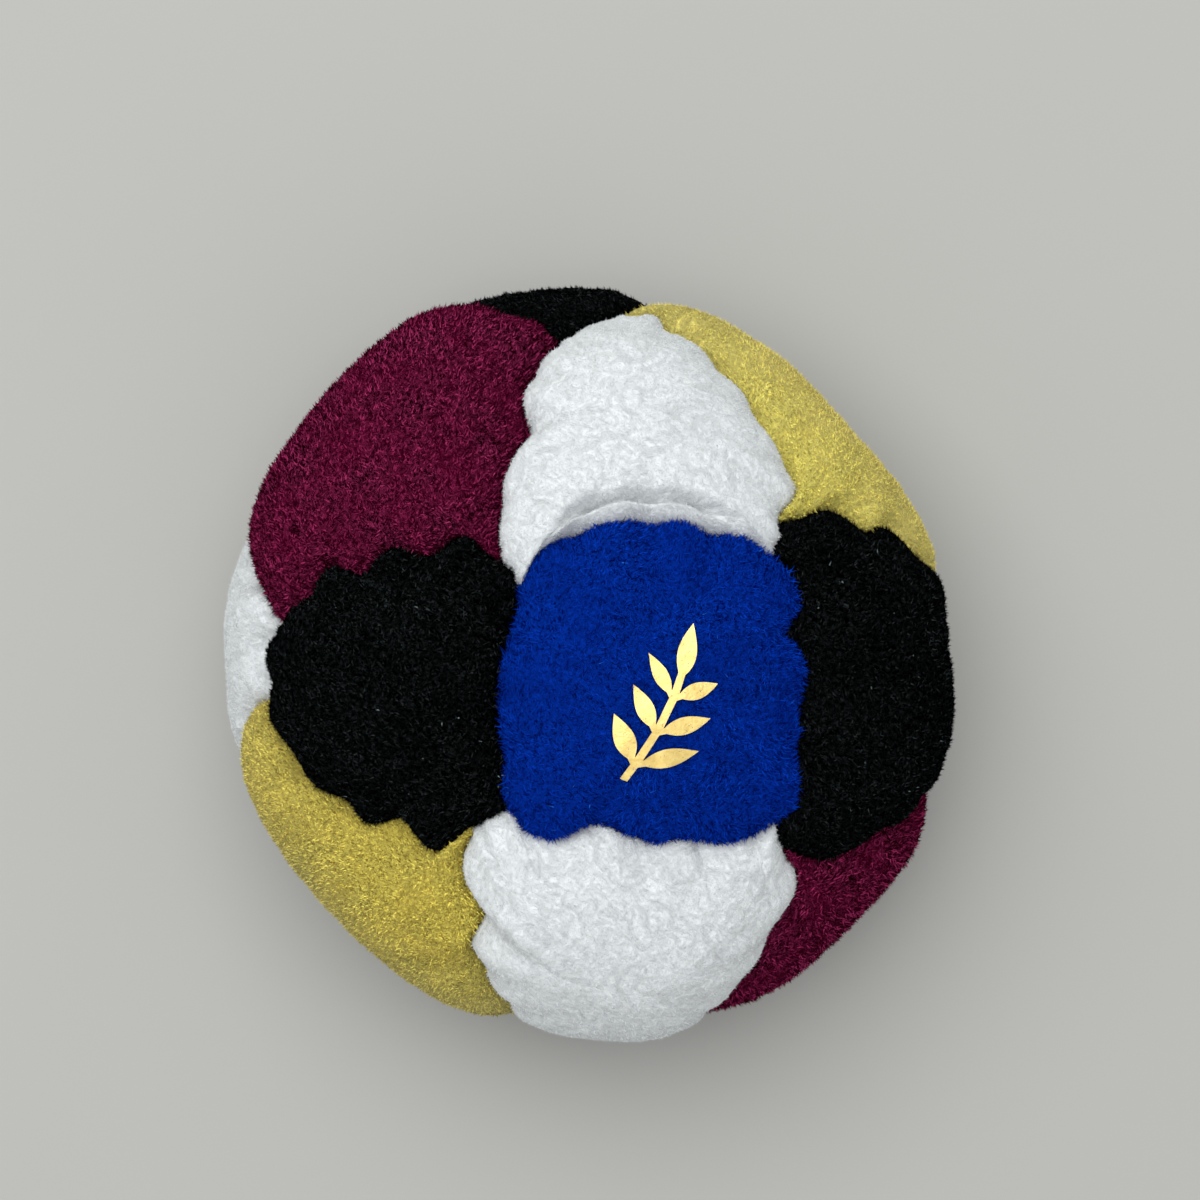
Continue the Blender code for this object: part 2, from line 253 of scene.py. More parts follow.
@dataclass(frozen=True)
class Pucker:
    """A soft crease that runs into a panel from its seam.

    Attributes:
        start: where it starts, in pixels of the frame.
        end: where it has run out.
        width: its width in pixels.
        depth: how deep it starts, in metres.
    """

    start: Pair
    end: Pair
    width: float
    depth: float

    def dent(self, shown: Array) -> Array:
        """How deep the crease is at places, given by their pixels."""
        start = np.array(self.start)
        line = np.array(self.end) - start
        share = np.clip((shown - start) @ line / (line @ line), 0, 1)
        gap = np.linalg.norm(shown - start - share[..., None] * line, axis=-1)
        return self.depth * (1 - share**2) * np.exp(-((gap / self.width) ** 2))


PUCKERS = {
    "white_front_s": (
        Pucker((702, 838), (724, 905), 8, 0.0011),
        Pucker((764, 838), (773, 878), 7, 0.0009),
        Pucker((604, 822), (600, 850), 8, -0.0003),
        Pucker((500, 926), (548, 964), 9, -0.0003),
    ),
    "white_front_n": (
        Pucker((512, 470), (540, 466), 7, 0.0004),
        Pucker((528, 415), (550, 411), 7, 0.0003),
        Pucker((640, 304), (590, 314), 20, 0.0008),
    ),
    "yellow_ne": (
        Pucker((724, 364), (746, 350), 6, 0.0008),
        Pucker((764, 412), (790, 398), 7, 0.0008),
        Pucker((787, 478), (812, 468), 7, 0.0008),
        Pucker((866, 533), (884, 500), 7, 0.0005),
        Pucker((908, 556), (932, 549), 4, 0.0007),
    ),
    "yellow_sw": (
        Pucker((352, 798), (340, 838), 8, 0.0006),
        Pucker((435, 845), (424, 884), 8, 0.0006),
        Pucker((320, 776), (306, 806), 7, 0.0004),
        Pucker((477, 905), (448, 908), 7, 0.0004),
        Pucker((256, 712), (284, 800), 7, 0.0004),
    ),
    "magenta_nw": (
        Pucker((362, 574), (350, 536), 9, 0.0005),
        Pucker((424, 557), (418, 522), 9, 0.0005),
        Pucker((310, 602), (296, 566), 8, 0.0005),
        Pucker((503, 484), (474, 476), 8, 0.0004),
        Pucker((288, 556), (350, 486), 12, -0.0004),
    ),
    "black_front_w": (
        Pucker((397, 550), (404, 592), 9, 0.0005),
        Pucker((405, 818), (402, 782), 8, 0.0005),
    ),
    "black_front_e": (
        Pucker((794, 658), (822, 656), 8, 0.0005),
        Pucker((866, 534), (860, 566), 8, 0.0005),
    ),
}


@dataclass(frozen=True)
class SettledBody:
    """The low, round loaf that the bag has settled into, over the crowns of its panels."""

    length: float = 0.0622
    width: float = 0.0578
    turn: float = math.radians(117)
    rise: float = 0.0190
    drop: float = 0.0145
    rest_cut: float = 0.0005
    top_fullness: float = 2.25
    bottom_fullness: float = 2.9
    slouch_blur: int = 9
    turned_rim: Pair = (0.017, 0.027)

    @property
    def waist(self) -> float:
        """The height of the loaf's middle."""
        return self.drop - self.rest_cut

    def point(self, direction: Array, depth: Array | float) -> Array:
        """The place so deep under the skin, in a direction from the middle.

        Args:
            direction: unit vectors, on the last axis.
            depth: metres under the skin.

        Returns:
            The places, on the last axis.
        """
        upward = direction[..., 2] > 0
        fullness = np.where(upward, self.top_fullness, self.bottom_fullness)
        rise = np.where(upward, self.rise, self.drop)
        out = np.hypot(direction[..., 0], direction[..., 1])
        reach = (out**fullness + np.abs(direction[..., 2]) ** fullness) ** (-1 / fullness)
        x, y, z = (direction[..., axis] for axis in range(3))
        cos, sin = math.cos(self.turn), math.sin(self.turn)
        along = (x * cos + y * sin) * reach * (self.length / 2 - depth)
        across = (y * cos - x * sin) * reach * (self.width / 2 - depth)
        height = self.waist + (rise - depth) * reach * z
        plain = (along * cos - across * sin, along * sin + across * cos, height)
        return self.slouched(np.stack(plain, -1))

    def slouched(self, places: Array) -> Array:
        """Moves places of the plain loaf out or in, to the uneven outline of a bag that was put down.

        Args:
            places: places in the plain loaf, on the last axis.

        Returns:
            The places in the slouched one.
        """
        x, y, z = (places[..., axis] for axis in range(3))
        azimuth = np.degrees(np.arctan2(y, x))
        out = np.hypot(x, y)
        reach = self.length / 2
        at_rim = smooth_step(*self.turned_rim, out)
        slide = np.radians(self._by_azimuth(RIM_SLIDES, azimuth)) * at_rim
        raised = z + self.rise * slide * out / reach
        over_rim = np.maximum((z + raised) / 2 - self.waist, 0.0)
        drawn_in = reach * slide * over_rim / self.rise / np.maximum(out, MM)
        grown = 1 + self._by_azimuth(SLOUCH, azimuth) * MM * out / reach**2 - drawn_in
        turn = np.radians(self._by_azimuth(RIM_TURNS, azimuth)) * at_rim
        cos, sin = np.cos(turn) * grown, np.sin(turn) * grown
        return np.stack((x * cos - y * sin, x * sin + y * cos, raised), -1)

    def _by_azimuth(self, table: dict[int, float], azimuth: Array) -> Array:
        """A table's values at azimuths in degrees, with its kinks blurred."""
        degrees = np.arange(360)
        values = np.interp(degrees, list(table), list(table.values()), period=360)
        window = np.hanning(2 * self.slouch_blur + 1)
        wrapped = np.pad(values, self.slouch_blur, mode="wrap")
        values = np.convolve(wrapped, window / window.sum(), mode="valid")
        return np.interp(azimuth, degrees, values, period=360)

    def corner(self, corner: Corner) -> Array:
        """The unit direction of a named corner."""
        if corner not in CORNER_TURNS:
            return -self.corner((OPPOSITE[corner[0]], OPPOSITE[corner[1]]))
        azimuth, tilt = (math.radians(turn) for turn in CORNER_TURNS[corner])
        flat = math.sin(tilt)
        return np.array((flat * math.cos(azimuth), flat * math.sin(azimuth), math.cos(tilt)))

    def middle(self, corners: list[Corner]) -> Array:
        """The unit direction of the middle of some corners."""
        return unit(sum(self.corner(corner) for corner in corners))


@dataclass(frozen=True)
class SeamRun:
    """One seam, read at even steps from its first corner to its last.

    Attributes:
        out: unit directions from the body's middle to the fold.
        left: unit tangents across the seam, to the left of the way along it.
        wave: how far the fold strays to the left.
        draw: how deep the fold lies under the body's skin.
        gather: how high the gathers beside the fold rise.
        ripple: the short part of the wave, which dents one panel and swells the other.
    """

    out: Array
    left: Array
    wave: Array
    draw: Array
    gather: Array
    ripple: Array

    def backwards(self) -> "SeamRun":
        """The same seam, walked the other way."""
        flips = {"left", "wave", "ripple"}
        turned = {key: value[::-1] for key, value in vars(self).items()}
        return SeamRun(**{key: -value if key in flips else value for key, value in turned.items()})


@dataclass(frozen=True)
class Stitching:
    """How the thread draws the seams in, waves them and gathers the suede beside them."""

    draw: float = 0.0034
    dip: float = 0.0003
    pitch: float = 0.0048
    pitch_jitter: float = 0.14
    strengths: Pair = (0.5, 1.5)
    gather: float = 0.00034
    gathered_share: float = 0.35
    pinch_sharpness: float = 2.0
    stray: float = 0.00042
    stray_strengths: Pair = (0.4, 1.3)
    most_stray: float = 0.0024
    scallop: float = 1.25
    shown_depths: Pair = (0.3, 1.0)
    shown_tilts: Pair = (0.15, 0.65)
    rim_tilt: float = 0.03
    step: float = 0.00045
    fewest_steps: int = 8
    trial_readings: int = 30
    trend: float = 0.0070
    thread_drop: float = 0.0008
    end_fade: float = 0.0015
    body: SettledBody = SettledBody()
    camera: PhotoView = PhotoView()

    def run(self, start: Corner, end: Corner) -> SeamRun:
        """Reads the seam between two corners of the same square, or across two squares.

        Args:
            start: its first corner.
            end: its last corner.

        Returns:
            The seam, with its waves, dips and gathers.
        """
        if (end, start) in SEAM_TRACES or ((start, end) not in SEAM_TRACES and end < start):
            return self.run(end, start).backwards()
        trial = self._direction(start, end, np.linspace(0, 1, self.trial_readings))
        fold = self.body.point(trial, self.draw)
        length = float(np.linalg.norm(np.diff(fold, axis=0), axis=1).sum())
        steps = max(self.fewest_steps, round(length / self.step))
        shares = np.linspace(0, 1, steps + 1)
        out = self._direction(start, end, shares)
        ahead = np.gradient(self.body.point(out, self.draw), axis=0)
        left = unit(np.cross(out, ahead))
        letters = enumerate("".join(start + end), 1)
        rng = np.random.default_rng(sum(ord(letter) * place for place, letter in letters))
        ends = smooth_step(0, self.end_fade, np.minimum(shares, 1 - shares) * length)
        stitches = max(1, round(length / self.pitch))
        knots = np.arange(stitches + 1)
        jitter = rng.uniform(-self.pitch_jitter, self.pitch_jitter, stitches + 1)
        sewn = knots + jitter * np.sin(math.pi * knots / stitches)
        beats = np.cos(2 * math.pi * np.interp(shares * stitches, sewn, knots))
        pinch = ((1 + beats) / 2) ** self.pinch_sharpness
        strengths = rng.uniform(*self.strengths, stitches + 1)
        strength = np.interp(shares * stitches, knots, strengths)
        traced = (start, end) in SEAM_TRACES
        if traced:
            wave = self._traced(start, end, out, left)
        else:
            turns = 2 * stitches + 1
            signs = np.where(np.arange(turns) % 2, 1, -1) * rng.uniform(*self.stray_strengths, turns)
            zigzag = np.interp(shares * (turns - 1), np.arange(turns), signs)
            wave = self._smoothed(zigzag) * self.stray
        trend = running_mean(wave, 2 * round(self.trend / self.step / 2) + 1)
        scallop = self.scallop if traced else 1
        return SeamRun(
            out=out,
            left=left,
            wave=(trend + (wave - trend) * scallop) * ends,
            draw=self.draw + self.dip * beats * strength * ends,
            gather=self.gather * (self.gathered_share - pinch) * strength * ends,
            ripple=(wave - trend) * ends,
        )

    def _direction(self, start: Corner, end: Corner, shares: Array) -> Array:
        """Unit directions part of the way along the bowed seam."""
        first, last = self.body.corner(start), self.body.corner(end)
        angle = math.acos(float(np.clip(first @ last, -1, 1)))
        spread = shares[:, None] * angle
        inwards = unit(np.cross(first, last))
        if inwards @ self.body.middle(corners_of_square(Square(start[0]))) < 0:
            inwards = -inwards
        bow = SEAM_BOW_SHARES.get(frozenset((start, end)), 0)
        swing = angle * bow * np.sin(math.pi * shares)[:, None]
        between = (np.sin(angle - spread) * first + np.sin(spread) * last) / math.sin(angle)
        return unit(between - inwards * swing)

    def _smoothed(self, values: Array) -> Array:
        """The values with their kinks taken out."""
        weights = np.array((1, 3, 4, 3, 1)) / 12
        return np.convolve(np.pad(values, 2, mode="edge"), weights, mode="valid")

    def strayed(self, places: Array, start: Corner, end: Corner) -> Array:
        """Moves a seam's thread to where its fold strays.

        Args:
            places: places on the thread.
            start: the seam's first corner.
            end: its last corner.

        Returns:
            The places, beside the same spots of the waved fold.
        """
        run = self.run(start, end)
        fold = self.body.point(run.out, self.draw)
        nearest = np.linalg.norm(places[:, None] - fold, axis=-1).argmin(1)
        aside = run.left[nearest] * run.wave[nearest, None]
        return places + aside - run.out[nearest] * self.thread_drop

    def _traced(self, start: Corner, end: Corner, out: Array, left: Array) -> Array:
        """How far the seam's traced line lies to the left of its fold, down to the rim.

        Args:
            start: the seam's first corner.
            end: its last corner.
            out: the readings' directions.
            left: the readings' tangents across the seam.

        Returns:
            Metres to the left, at each reading. Below the rim the last value runs out.
        """
        trace = np.array(SEAM_TRACES[start, end], float)
        steps = np.linalg.norm(np.diff(trace, axis=0), axis=1)
        along = np.concatenate(((0,), np.cumsum(steps))) / steps.sum()
        steep = smooth_step(*self.shown_tilts, out[:, 2])
        shown_depth = self.shown_depths[0] + np.ptp(self.shown_depths) * steep
        fold = self.body.point(out, self.draw * shown_depth)
        shown = self.camera.pixels(fold)
        across = (self.camera.pixels(fold + left * MM) - shown) / MM
        run = np.concatenate(((0,), np.cumsum(np.linalg.norm(np.diff(shown, axis=0), axis=1))))
        last = int((out[:, 2] > self.rim_tilt).sum()) - 1
        line = np.stack([np.interp(run / run[last], along, trace[:, axis]) for axis in (0, 1)], -1)
        per_metre = np.maximum(np.linalg.norm(across, axis=1), self.camera.focal_pixels)
        strays = ((line - shown) * across).sum(1) / per_metre**2
        strays = np.clip(strays, -self.most_stray, self.most_stray)
        strays[last:] = strays[last] * np.linspace(1, 0, len(strays) - last)
        return self._smoothed(strays)


@dataclass
class SuedePanel:
    """One suede panel, as a closed shell: crown, fold, turned allowance and the same inside."""

    name: str
    corners: list[Corner]
    seed: int
    tucked: tuple[Corner, Corner] | None = None
    thickness: float = 0.0008
    gap: float = 0.00012
    allowance: float = 0.0028
    fullness: float = 2.25
    crown_rings: int = 42
    skirt_rings: int = 6
    inner_rings: int = 14
    wave_reach: float = 0.0036
    dent_share: float = 0.7
    bulge_share: float = 0.35
    bulge_reach: float = 0.0016
    gather_reach: float = 0.0024
    gather_uneven: float = 0.6
    gather_patch: float = 0.006
    soft_reach: float = 0.002
    lump_size: float = 0.0105
    lump_height: float = 0.00014
    ripple_size: float = 0.0034
    ripple_height: float = 0.00005
    tuck_width: float = 0.0014
    tuck_depth: float = 0.0015
    tuck_softness: float = 0.00028
    tuck_calm: int = 21
    tuck_fade: Pair = (0.12, 0.34)
    tuck_floor: float = 0.0037
    allowance_slide: float = 0.9
    pole_turn: float = 0.02
    least_mitre: float = 0.4
    probe: float = 0.01
    stitching: Stitching = Stitching()
    body: SettledBody = SettledBody()
    camera: PhotoView = PhotoView()

    def __post_init__(self) -> None:
        """Reads the seams round the panel, so that it lies on the left of the walk."""
        self.tuck_run = None
        self.middle = self.body.middle(self.corners)
        first, second = (self.body.corner(corner) for corner in self.corners[:2])
        if self.middle @ np.cross(first, second) < 0:
            self.corners = self.corners[::-1]
        runs = []
        for start, end in zip(self.corners, self.corners[1:] + self.corners[:1]):
            run = self.stitching.run(start, end)
            if self.tucked in ((start, end), (end, start)):
                self.tuck_run = run
            runs.append(run)
        for key in vars(runs[0]):
            setattr(self, key, np.concatenate([getattr(run, key)[:-1] for run in runs]))
        self.fold = self.body.point(self.out, self.draw)
        nudged = self.body.point(unit(self.out + self.left * self.probe), self.draw)
        self.speed = np.linalg.norm(nudged - self.fold, axis=1) / self.probe
        self.toward = unit(self.middle - self.out * (self.out @ self.middle)[:, None])
        self.mitre = 1 / np.maximum((self.toward * self.left).sum(1), self.least_mitre)
        self.reach = np.linalg.norm(self.body.point(self.middle, 0) - self.fold, axis=1)

    def _edge(self, wave_share: float, inset: float) -> Array:
        """Directions of the fold, with a share of its wave, and so far in from it."""
        strayed = self.out + self.left * (self.wave * wave_share / self.speed)[:, None]
        return unit(strayed + self.toward * (inset * self.mitre / self.speed)[:, None])

    def crown(self, turns: Array, under: float) -> Array:
        """Rings of the crown, from near its middle to its fold.

        Args:
            turns: each ring's place on the profile, from 0 at the middle to a right angle.
            under: how far under the suede's face they lie.

        Returns:
            Places by ring and column.
        """
        shares = np.sin(turns) ** (2 / self.fullness)
        sinks = 1 - np.cos(turns) ** (2 / self.fullness)
        away = (1 - shares)[:, None] * self.reach
        plain = self._edge(0, self.gap / 2 + under)
        waved = self._edge(1, self.gap / 2 + under)
        edge = plain + (waved - plain) * np.exp(-away / self.wave_reach)[..., None]
        ways = unit(self.middle + (edge - self.middle) * shares[:, None, None])
        base = self.body.point(ways, 0.0)
        soft = 1 - np.exp(-away / self.soft_reach)
        dents = np.where(self.ripple > 0, self.dent_share, self.bulge_share) * self.ripple
        raised = -dents * np.exp(-away / self.bulge_reach)
        uneven = 1 + self.gather_uneven * lumps(base, self.gather_patch, self.seed + 2)
        raised += self.gather * uneven * np.exp(-away / self.gather_reach)
        raised += lumps(base, self.lump_size, self.seed) * self.lump_height * soft
        raised += lumps(base, self.ripple_size, self.seed + 1) * self.ripple_height * soft
        raised -= sum(pucker.dent(self.camera.pixels(base)) for pucker in PUCKERS.get(self.name, ()))
        depth = self.draw * sinks[:, None] - raised
        tucked = depth + self.tuck_depth * self.tucked_share(base)
        depth = np.minimum(tucked, np.maximum(depth, self.tuck_floor))
        places = self.body.point(ways, depth + under)
        places[..., 2] = np.maximum(places[..., 2], under)
        return places

    def tucked_share(self, base: Array, shelf: bool = False) -> Array:
        """How far places lie in the groove beside the tucked seam, or on its smooth shelf, 0 to 1.

        Args:
            base: places on the body's skin, on the last axis.
            shelf: whether the whole strip between the seam and the groove counts.

        Returns:
            The share at each place.
        """
        if self.tuck_run is None:
            return np.zeros(base.shape[:-1])
        run = self.tuck_run
        aside = running_mean(run.wave, self.tuck_calm) / (self.body.length / 2)
        line = self.body.point(unit(run.out + run.left * aside[:, None]), 0.0)
        apart = np.linalg.norm(base[..., None, :] - line, axis=-1)
        shares = np.linspace(0, 1, len(line))[apart.argmin(-1)]
        near = apart.min(-1)
        along = smooth_step(*self.tuck_fade, np.minimum(shares, 1 - shares))
        width = self.tuck_width * (0.5 + 0.5 * along)
        if shelf:
            return along * (near < width)
        return along * np.exp(-(((near - width) / self.tuck_softness) ** 2))

    def allowance_rings(self, shares: Array, under: float) -> Array:
        """Rings of the turned allowance.

        Args:
            shares: how far below the fold each ring lies, as a share of the allowance.
            under: how far in from the suede's face they lie.

        Returns:
            Places by ring and column.
        """
        fold = self.crown(np.array([math.pi / 2]), under)[0]
        straight = self.body.point(self._edge(0, self.gap / 2 + under), self.draw + under)
        slide = (straight - fold) * self.allowance_slide
        below = self.out * (self.allowance - under)
        return np.stack([fold + slide * share - below * share for share in shares])

    def shell(self) -> Array:
        """All rings of the closed shell, from the crown's middle round to the inner middle."""
        crown = self.crown(self.crown_turns(), 0.0)
        skirt = self.allowance_rings(np.arange(1, self.skirt_rings + 1) / self.skirt_rings, 0.0)
        inner_skirt = self.allowance_rings(np.linspace(1, 0, self.skirt_rings), self.thickness)
        inner_turns = math.pi / 2 * np.arange(self.inner_rings - 1, 0, -1) / self.inner_rings
        inner = self.crown(inner_turns, self.thickness)
        return np.concatenate((crown, skirt, inner_skirt, inner))

    def crown_turns(self) -> Array:
        """Where the crown's rings lie on its profile."""
        return math.pi / 2 * np.arange(1, self.crown_rings + 1) / self.crown_rings

    def pole(self, under: float) -> Array:
        """The middle of the crown, or of its inside."""
        return self.crown(np.array([self.pole_turn]), under)[0].mean(0)

    def build(self) -> Piece:
        """Makes the closed shell.

        Returns:
            The panel's object, with its flat cut as a UV map in metres.
        """
        rings = self.shell()
        count, columns = rings.shape[:2]
        shape = bmesh.new()
        bmesh.ops.create_uvsphere(shape, u_segments=columns, v_segments=count + 1, radius=1)
        piece = finished(f"suede_{self.name}", shape)
        data = piece.data
        unit_places = read_places(data)
        ring = np.rint(np.arccos(np.clip(unit_places[:, 2], -1, 1)) / math.pi * (count + 1)).astype(int)
        turn = np.arctan2(unit_places[:, 1], unit_places[:, 0]) / (2 * math.pi)
        column = np.rint(turn * columns).astype(int) % columns
        outer_pole, inner_pole = (
            np.broadcast_to(self.pole(under), rings[:1].shape) for under in (0.0, self.thickness)
        )
        closed = np.concatenate((outer_pole, rings, inner_pole))
        write_places(data, closed[ring, column])
        write_cut(data, self.flat_cut(closed)[ring, column])
        data.shade_smooth()
        return piece

    def flat_cut(self, rings: Array) -> Array:
        """Where the shell's rings lie in the flat panel before it was sewn.

        Args:
            rings: places by ring and column, from the crown's middle to the inner middle.

        Returns:
            Flat places by ring and column, in metres.
        """
        turned = self.crown_rings + self.skirt_rings + 1
        steps = np.linalg.norm(np.diff(rings, axis=0, prepend=rings[:1]), axis=-1)
        steps[turned : turned + 1] = 0
        steps[turned + 1 :] *= -1
        far = np.maximum(np.cumsum(steps, axis=0), 0)
        across, upward = self.axes()
        spread = self.fold - self.pole(0.0)
        bearing = np.arctan2(spread @ upward, spread @ across)
        return np.stack((far * np.cos(bearing), far * np.sin(bearing)), -1)

    def flat_size(self) -> tuple[Pair, float]:
        """The width and length that the panel was cut to, and its flat area."""
        after, pole = np.roll(self.fold, -1, 0), self.pole(0.0)
        around = float(np.linalg.norm(after - self.fold, axis=1).sum())
        reach = np.linalg.norm(self.fold - pole, axis=1)
        within = float(np.linalg.norm(np.cross(after - pole, self.fold - pole), axis=1).sum() / 2)
        spread = (self.fold - pole) @ np.stack(self.axes(), 1)
        spread *= (reach / np.linalg.norm(spread, axis=1))[:, None]
        size = np.ptp(spread, axis=0) + 2 * self.allowance
        return (float(size[0]), float(size[1])), within + around * self.allowance

    def axes(self) -> tuple[Array, Array]:
        """Two tangents at the panel's middle: across and up the frame where it shows there."""
        up_frame = np.array((0.0, 1.0, 0.0))
        if abs(self.middle @ up_frame) > 0.9:
            up_frame = np.array((0.0, 0.0, 1.0))
        upward = unit(up_frame - self.middle * (up_frame @ self.middle))
        return np.cross(upward, self.middle), upward


def finished(name: str, shape: bmesh.types.BMesh) -> Piece:
    """Turns a bmesh into a linked object at the origin.

    Args:
        name: the piece's name.
        shape: its mesh, which is freed.

    Returns:
        The object.
    """
    data = bpy.data.meshes.new(name)
    shape.to_mesh(data)
    shape.free()
    piece = bpy.data.objects.new(name, data)
    bpy.context.scene.collection.objects.link(piece)
    return piece


def read_places(data: bpy.types.Mesh) -> Array:
    """The mesh's vertices, by vertex."""
    places = np.empty(len(data.vertices) * 3)
    data.vertices.foreach_get("co", places)
    return places.reshape(-1, 3)


def write_places(data: bpy.types.Mesh, places: Array) -> None:
    """Moves the mesh's vertices to their places."""
    data.vertices.foreach_set("co", places.astype(np.float32).ravel())
    data.update()


def face_corners(data: bpy.types.Mesh) -> Array:
    """The vertex at each corner of each face."""
    corners = np.empty(len(data.loops), np.int32)
    data.loops.foreach_get("vertex_index", corners)
    return corners


def write_cut(data: bpy.types.Mesh, spots: Array) -> None:
    """Keeps each vertex's place in the flat cut as the UV map that the suede reads."""
    layer = data.uv_layers.new(name="cut")
    layer.uv.foreach_set("vector", spots[face_corners(data)].astype(np.float32).ravel())


def shade(data: bpy.types.Mesh) -> None:
    """Shades the mesh smooth between its sharp edges."""
    data.shade_smooth()
    data.set_sharp_from_angle(angle=SHARP_ANGLE)


@dataclass(frozen=True)
class Nap:
    """The short fibres that stand and lie on one panel's crown.

    Attributes:
        doublings: how often one fibre is doubled to make them all.
        length: a fibre's length.
        width: its width at the root.
        direction: which way the nap lies in the flat cut, in radians.
        swirl: how much that wanders, in radians.
        seed: picks the fibres.
    """

    doublings: int
    length: float
    width: float
    direction: float
    swirl: float
    seed: int
    root: float = 0.00005
    scatter: float = 1.1
    patch_size: float = 0.009
    lowest: float = math.radians(12)
    highest: float = math.radians(72)
    lengths: Pair = (0.5, 1.2)
    fuzz: float = 0.45
    edge_shares: Pair = (0.72, 0.97)
    edge_lean: float = 0.9
    floor_gap: float = 0.0001
    heart: Triple = (0.0, 0.0, 0.012)

    def build(self, panel: SuedePanel) -> Piece:
        """Plants the fibres on a panel.

        Args:
            panel: what they stand on.

        Returns:
            The nap's object, with the panel's flat cut and each fibre's tone.
        """
        rng = np.random.default_rng(self.seed)
        grid = self.bed(panel)
        roots, cut, normal, edge = self.sown(panel, grid, rng, 2 * 2**self.doublings)
        across, upward = panel.axes()
        angle = self.direction + self.swirl * 0.5 * lumps(cut, self.patch_size, self.seed)
        angle += rng.normal(0, self.scatter, len(roots))
        flow = np.cos(angle)[:, None] * across + np.sin(angle)[:, None] * upward
        flow += self.edge_lean * edge * unit(cut @ np.stack((across, upward)) + 1e-9)
        flow = unit(flow - normal * (flow * normal).sum(1, keepdims=True))
        lift = rng.uniform(self.lowest, self.highest, (len(roots), 1))
        way = flow * np.cos(lift) + normal * np.sin(lift)
        side = unit(np.cross(way, normal))
        over_side = np.cross(side, way)
        roots = roots - normal * self.root
        lengths = rng.uniform(*self.lengths, (len(roots), 1)) * (1 + self.fuzz * edge)
        tips = roots + way * self.length * lengths
        clear = (tips[:, 2] > self.floor_gap) & (roots[:, 2] > self.floor_gap)
        clear &= panel.tucked_share(roots, shelf=True) < 0.5
        kept = np.flatnonzero(clear)[: 2**self.doublings]
        corners = [
            roots + self.width / 2 * (math.cos(turn) * side + math.sin(turn) * over_side)
            for turn in np.arange(3) * (2 * math.pi / 3)
        ]
        places = np.stack((*corners, tips), 1)[kept]
        piece = finished(f"nap_{panel.name}", spikes(self.doublings))
        order = spike_order(piece.data)
        write_places(piece.data, places.reshape(-1, 3)[order])
        write_cut(piece.data, np.repeat(cut[kept], 4, axis=0)[order])
        tone = piece.data.attributes.new("tone", "FLOAT", "POINT")
        tone.data.foreach_set("value", np.repeat(rng.random(len(kept)), 4).astype(np.float32)[order])
        return piece

    def bed(self, panel: SuedePanel) -> Array:
        """The crown's places and their places in the flat cut, by ring and column, closed round."""
        crown = panel.crown(panel.crown_turns(), 0.0)
        rings = np.concatenate((np.broadcast_to(panel.pole(0.0), crown[:1].shape), crown))
        grid = np.concatenate((rings, panel.flat_cut(rings)), -1)
        return np.concatenate((grid, grid[:, :1]), 1)

    def sown(
        self, panel: SuedePanel, grid: Array, rng: np.random.Generator, count: int
    ) -> tuple[Array, ...]:
        """Spreads roots evenly over the crown.

        Args:
            panel: what they stand on.
            grid: the panel's bed.
            rng: where the draws come from.
            count: how many roots.

        Returns:
            The roots, their places in the flat cut, the suede's normals there and how near the
            fold they are.
        """
        first, last = grid[:-1, :-1, :3], grid[1:, 1:, :3]
        crossed = np.cross(last - first, grid[:-1, 1:, :3] - grid[1:, :-1, :3])
        area = np.linalg.norm(crossed, axis=-1)
        chances = np.cumsum(area.ravel()) / area.sum()
        picked = np.minimum(np.searchsorted(chances, rng.random(count)), chances.size - 1)
        ring, column = np.unravel_index(picked, area.shape)
        down, over = rng.random((2, count, 1))
        near = grid[ring, column] * (1 - down) + grid[ring + 1, column] * down
        far = grid[ring, column + 1] * (1 - down) + grid[ring + 1, column + 1] * down
        spot = near * (1 - over) + far * over
        normal = unit(crossed[ring, column])
        facing = (normal * (spot[:, :3] - self.heart)).sum(1, keepdims=True)
        edge = smooth_step(*self.edge_shares, (ring[:, None] + down) / panel.crown_rings)
        return spot[:, :3], spot[:, 3:], normal * np.sign(facing), edge


def spikes(doublings: int) -> bmesh.types.BMesh:
    """Many closed three-sided spikes, made by doubling one.

    Args:
        doublings: how often the spikes are doubled.

    Returns:
        Their mesh.
    """
    shape = bmesh.new()
    bmesh.ops.create_cone(shape, cap_ends=True, segments=3, radius1=1, radius2=0, depth=1)
    bmesh.ops.remove_doubles(shape, verts=shape.verts, dist=0.001)
    for _ in range(doublings):
        bmesh.ops.duplicate(shape, geom=shape.verts[:] + shape.edges[:] + shape.faces[:])
    return shape


def spike_order(data: bpy.types.Mesh) -> Array:
    """Each vertex's place in a list of all spikes, with three at the root and then the tip of each."""
    corners = face_corners(data)
    places = read_places(data)
    least = np.arange(len(places))
    np.minimum.at(least, corners, np.repeat(corners.reshape(-1, 3).min(1), 3))
    spike = np.unique(least, return_inverse=True)[1]
    turn = np.rint(np.arctan2(places[:, 1], places[:, 0]) / (2 * math.pi) * 3).astype(int) % 3
    return spike * 4 + np.where(places[:, 2] > 0, 3, turn)


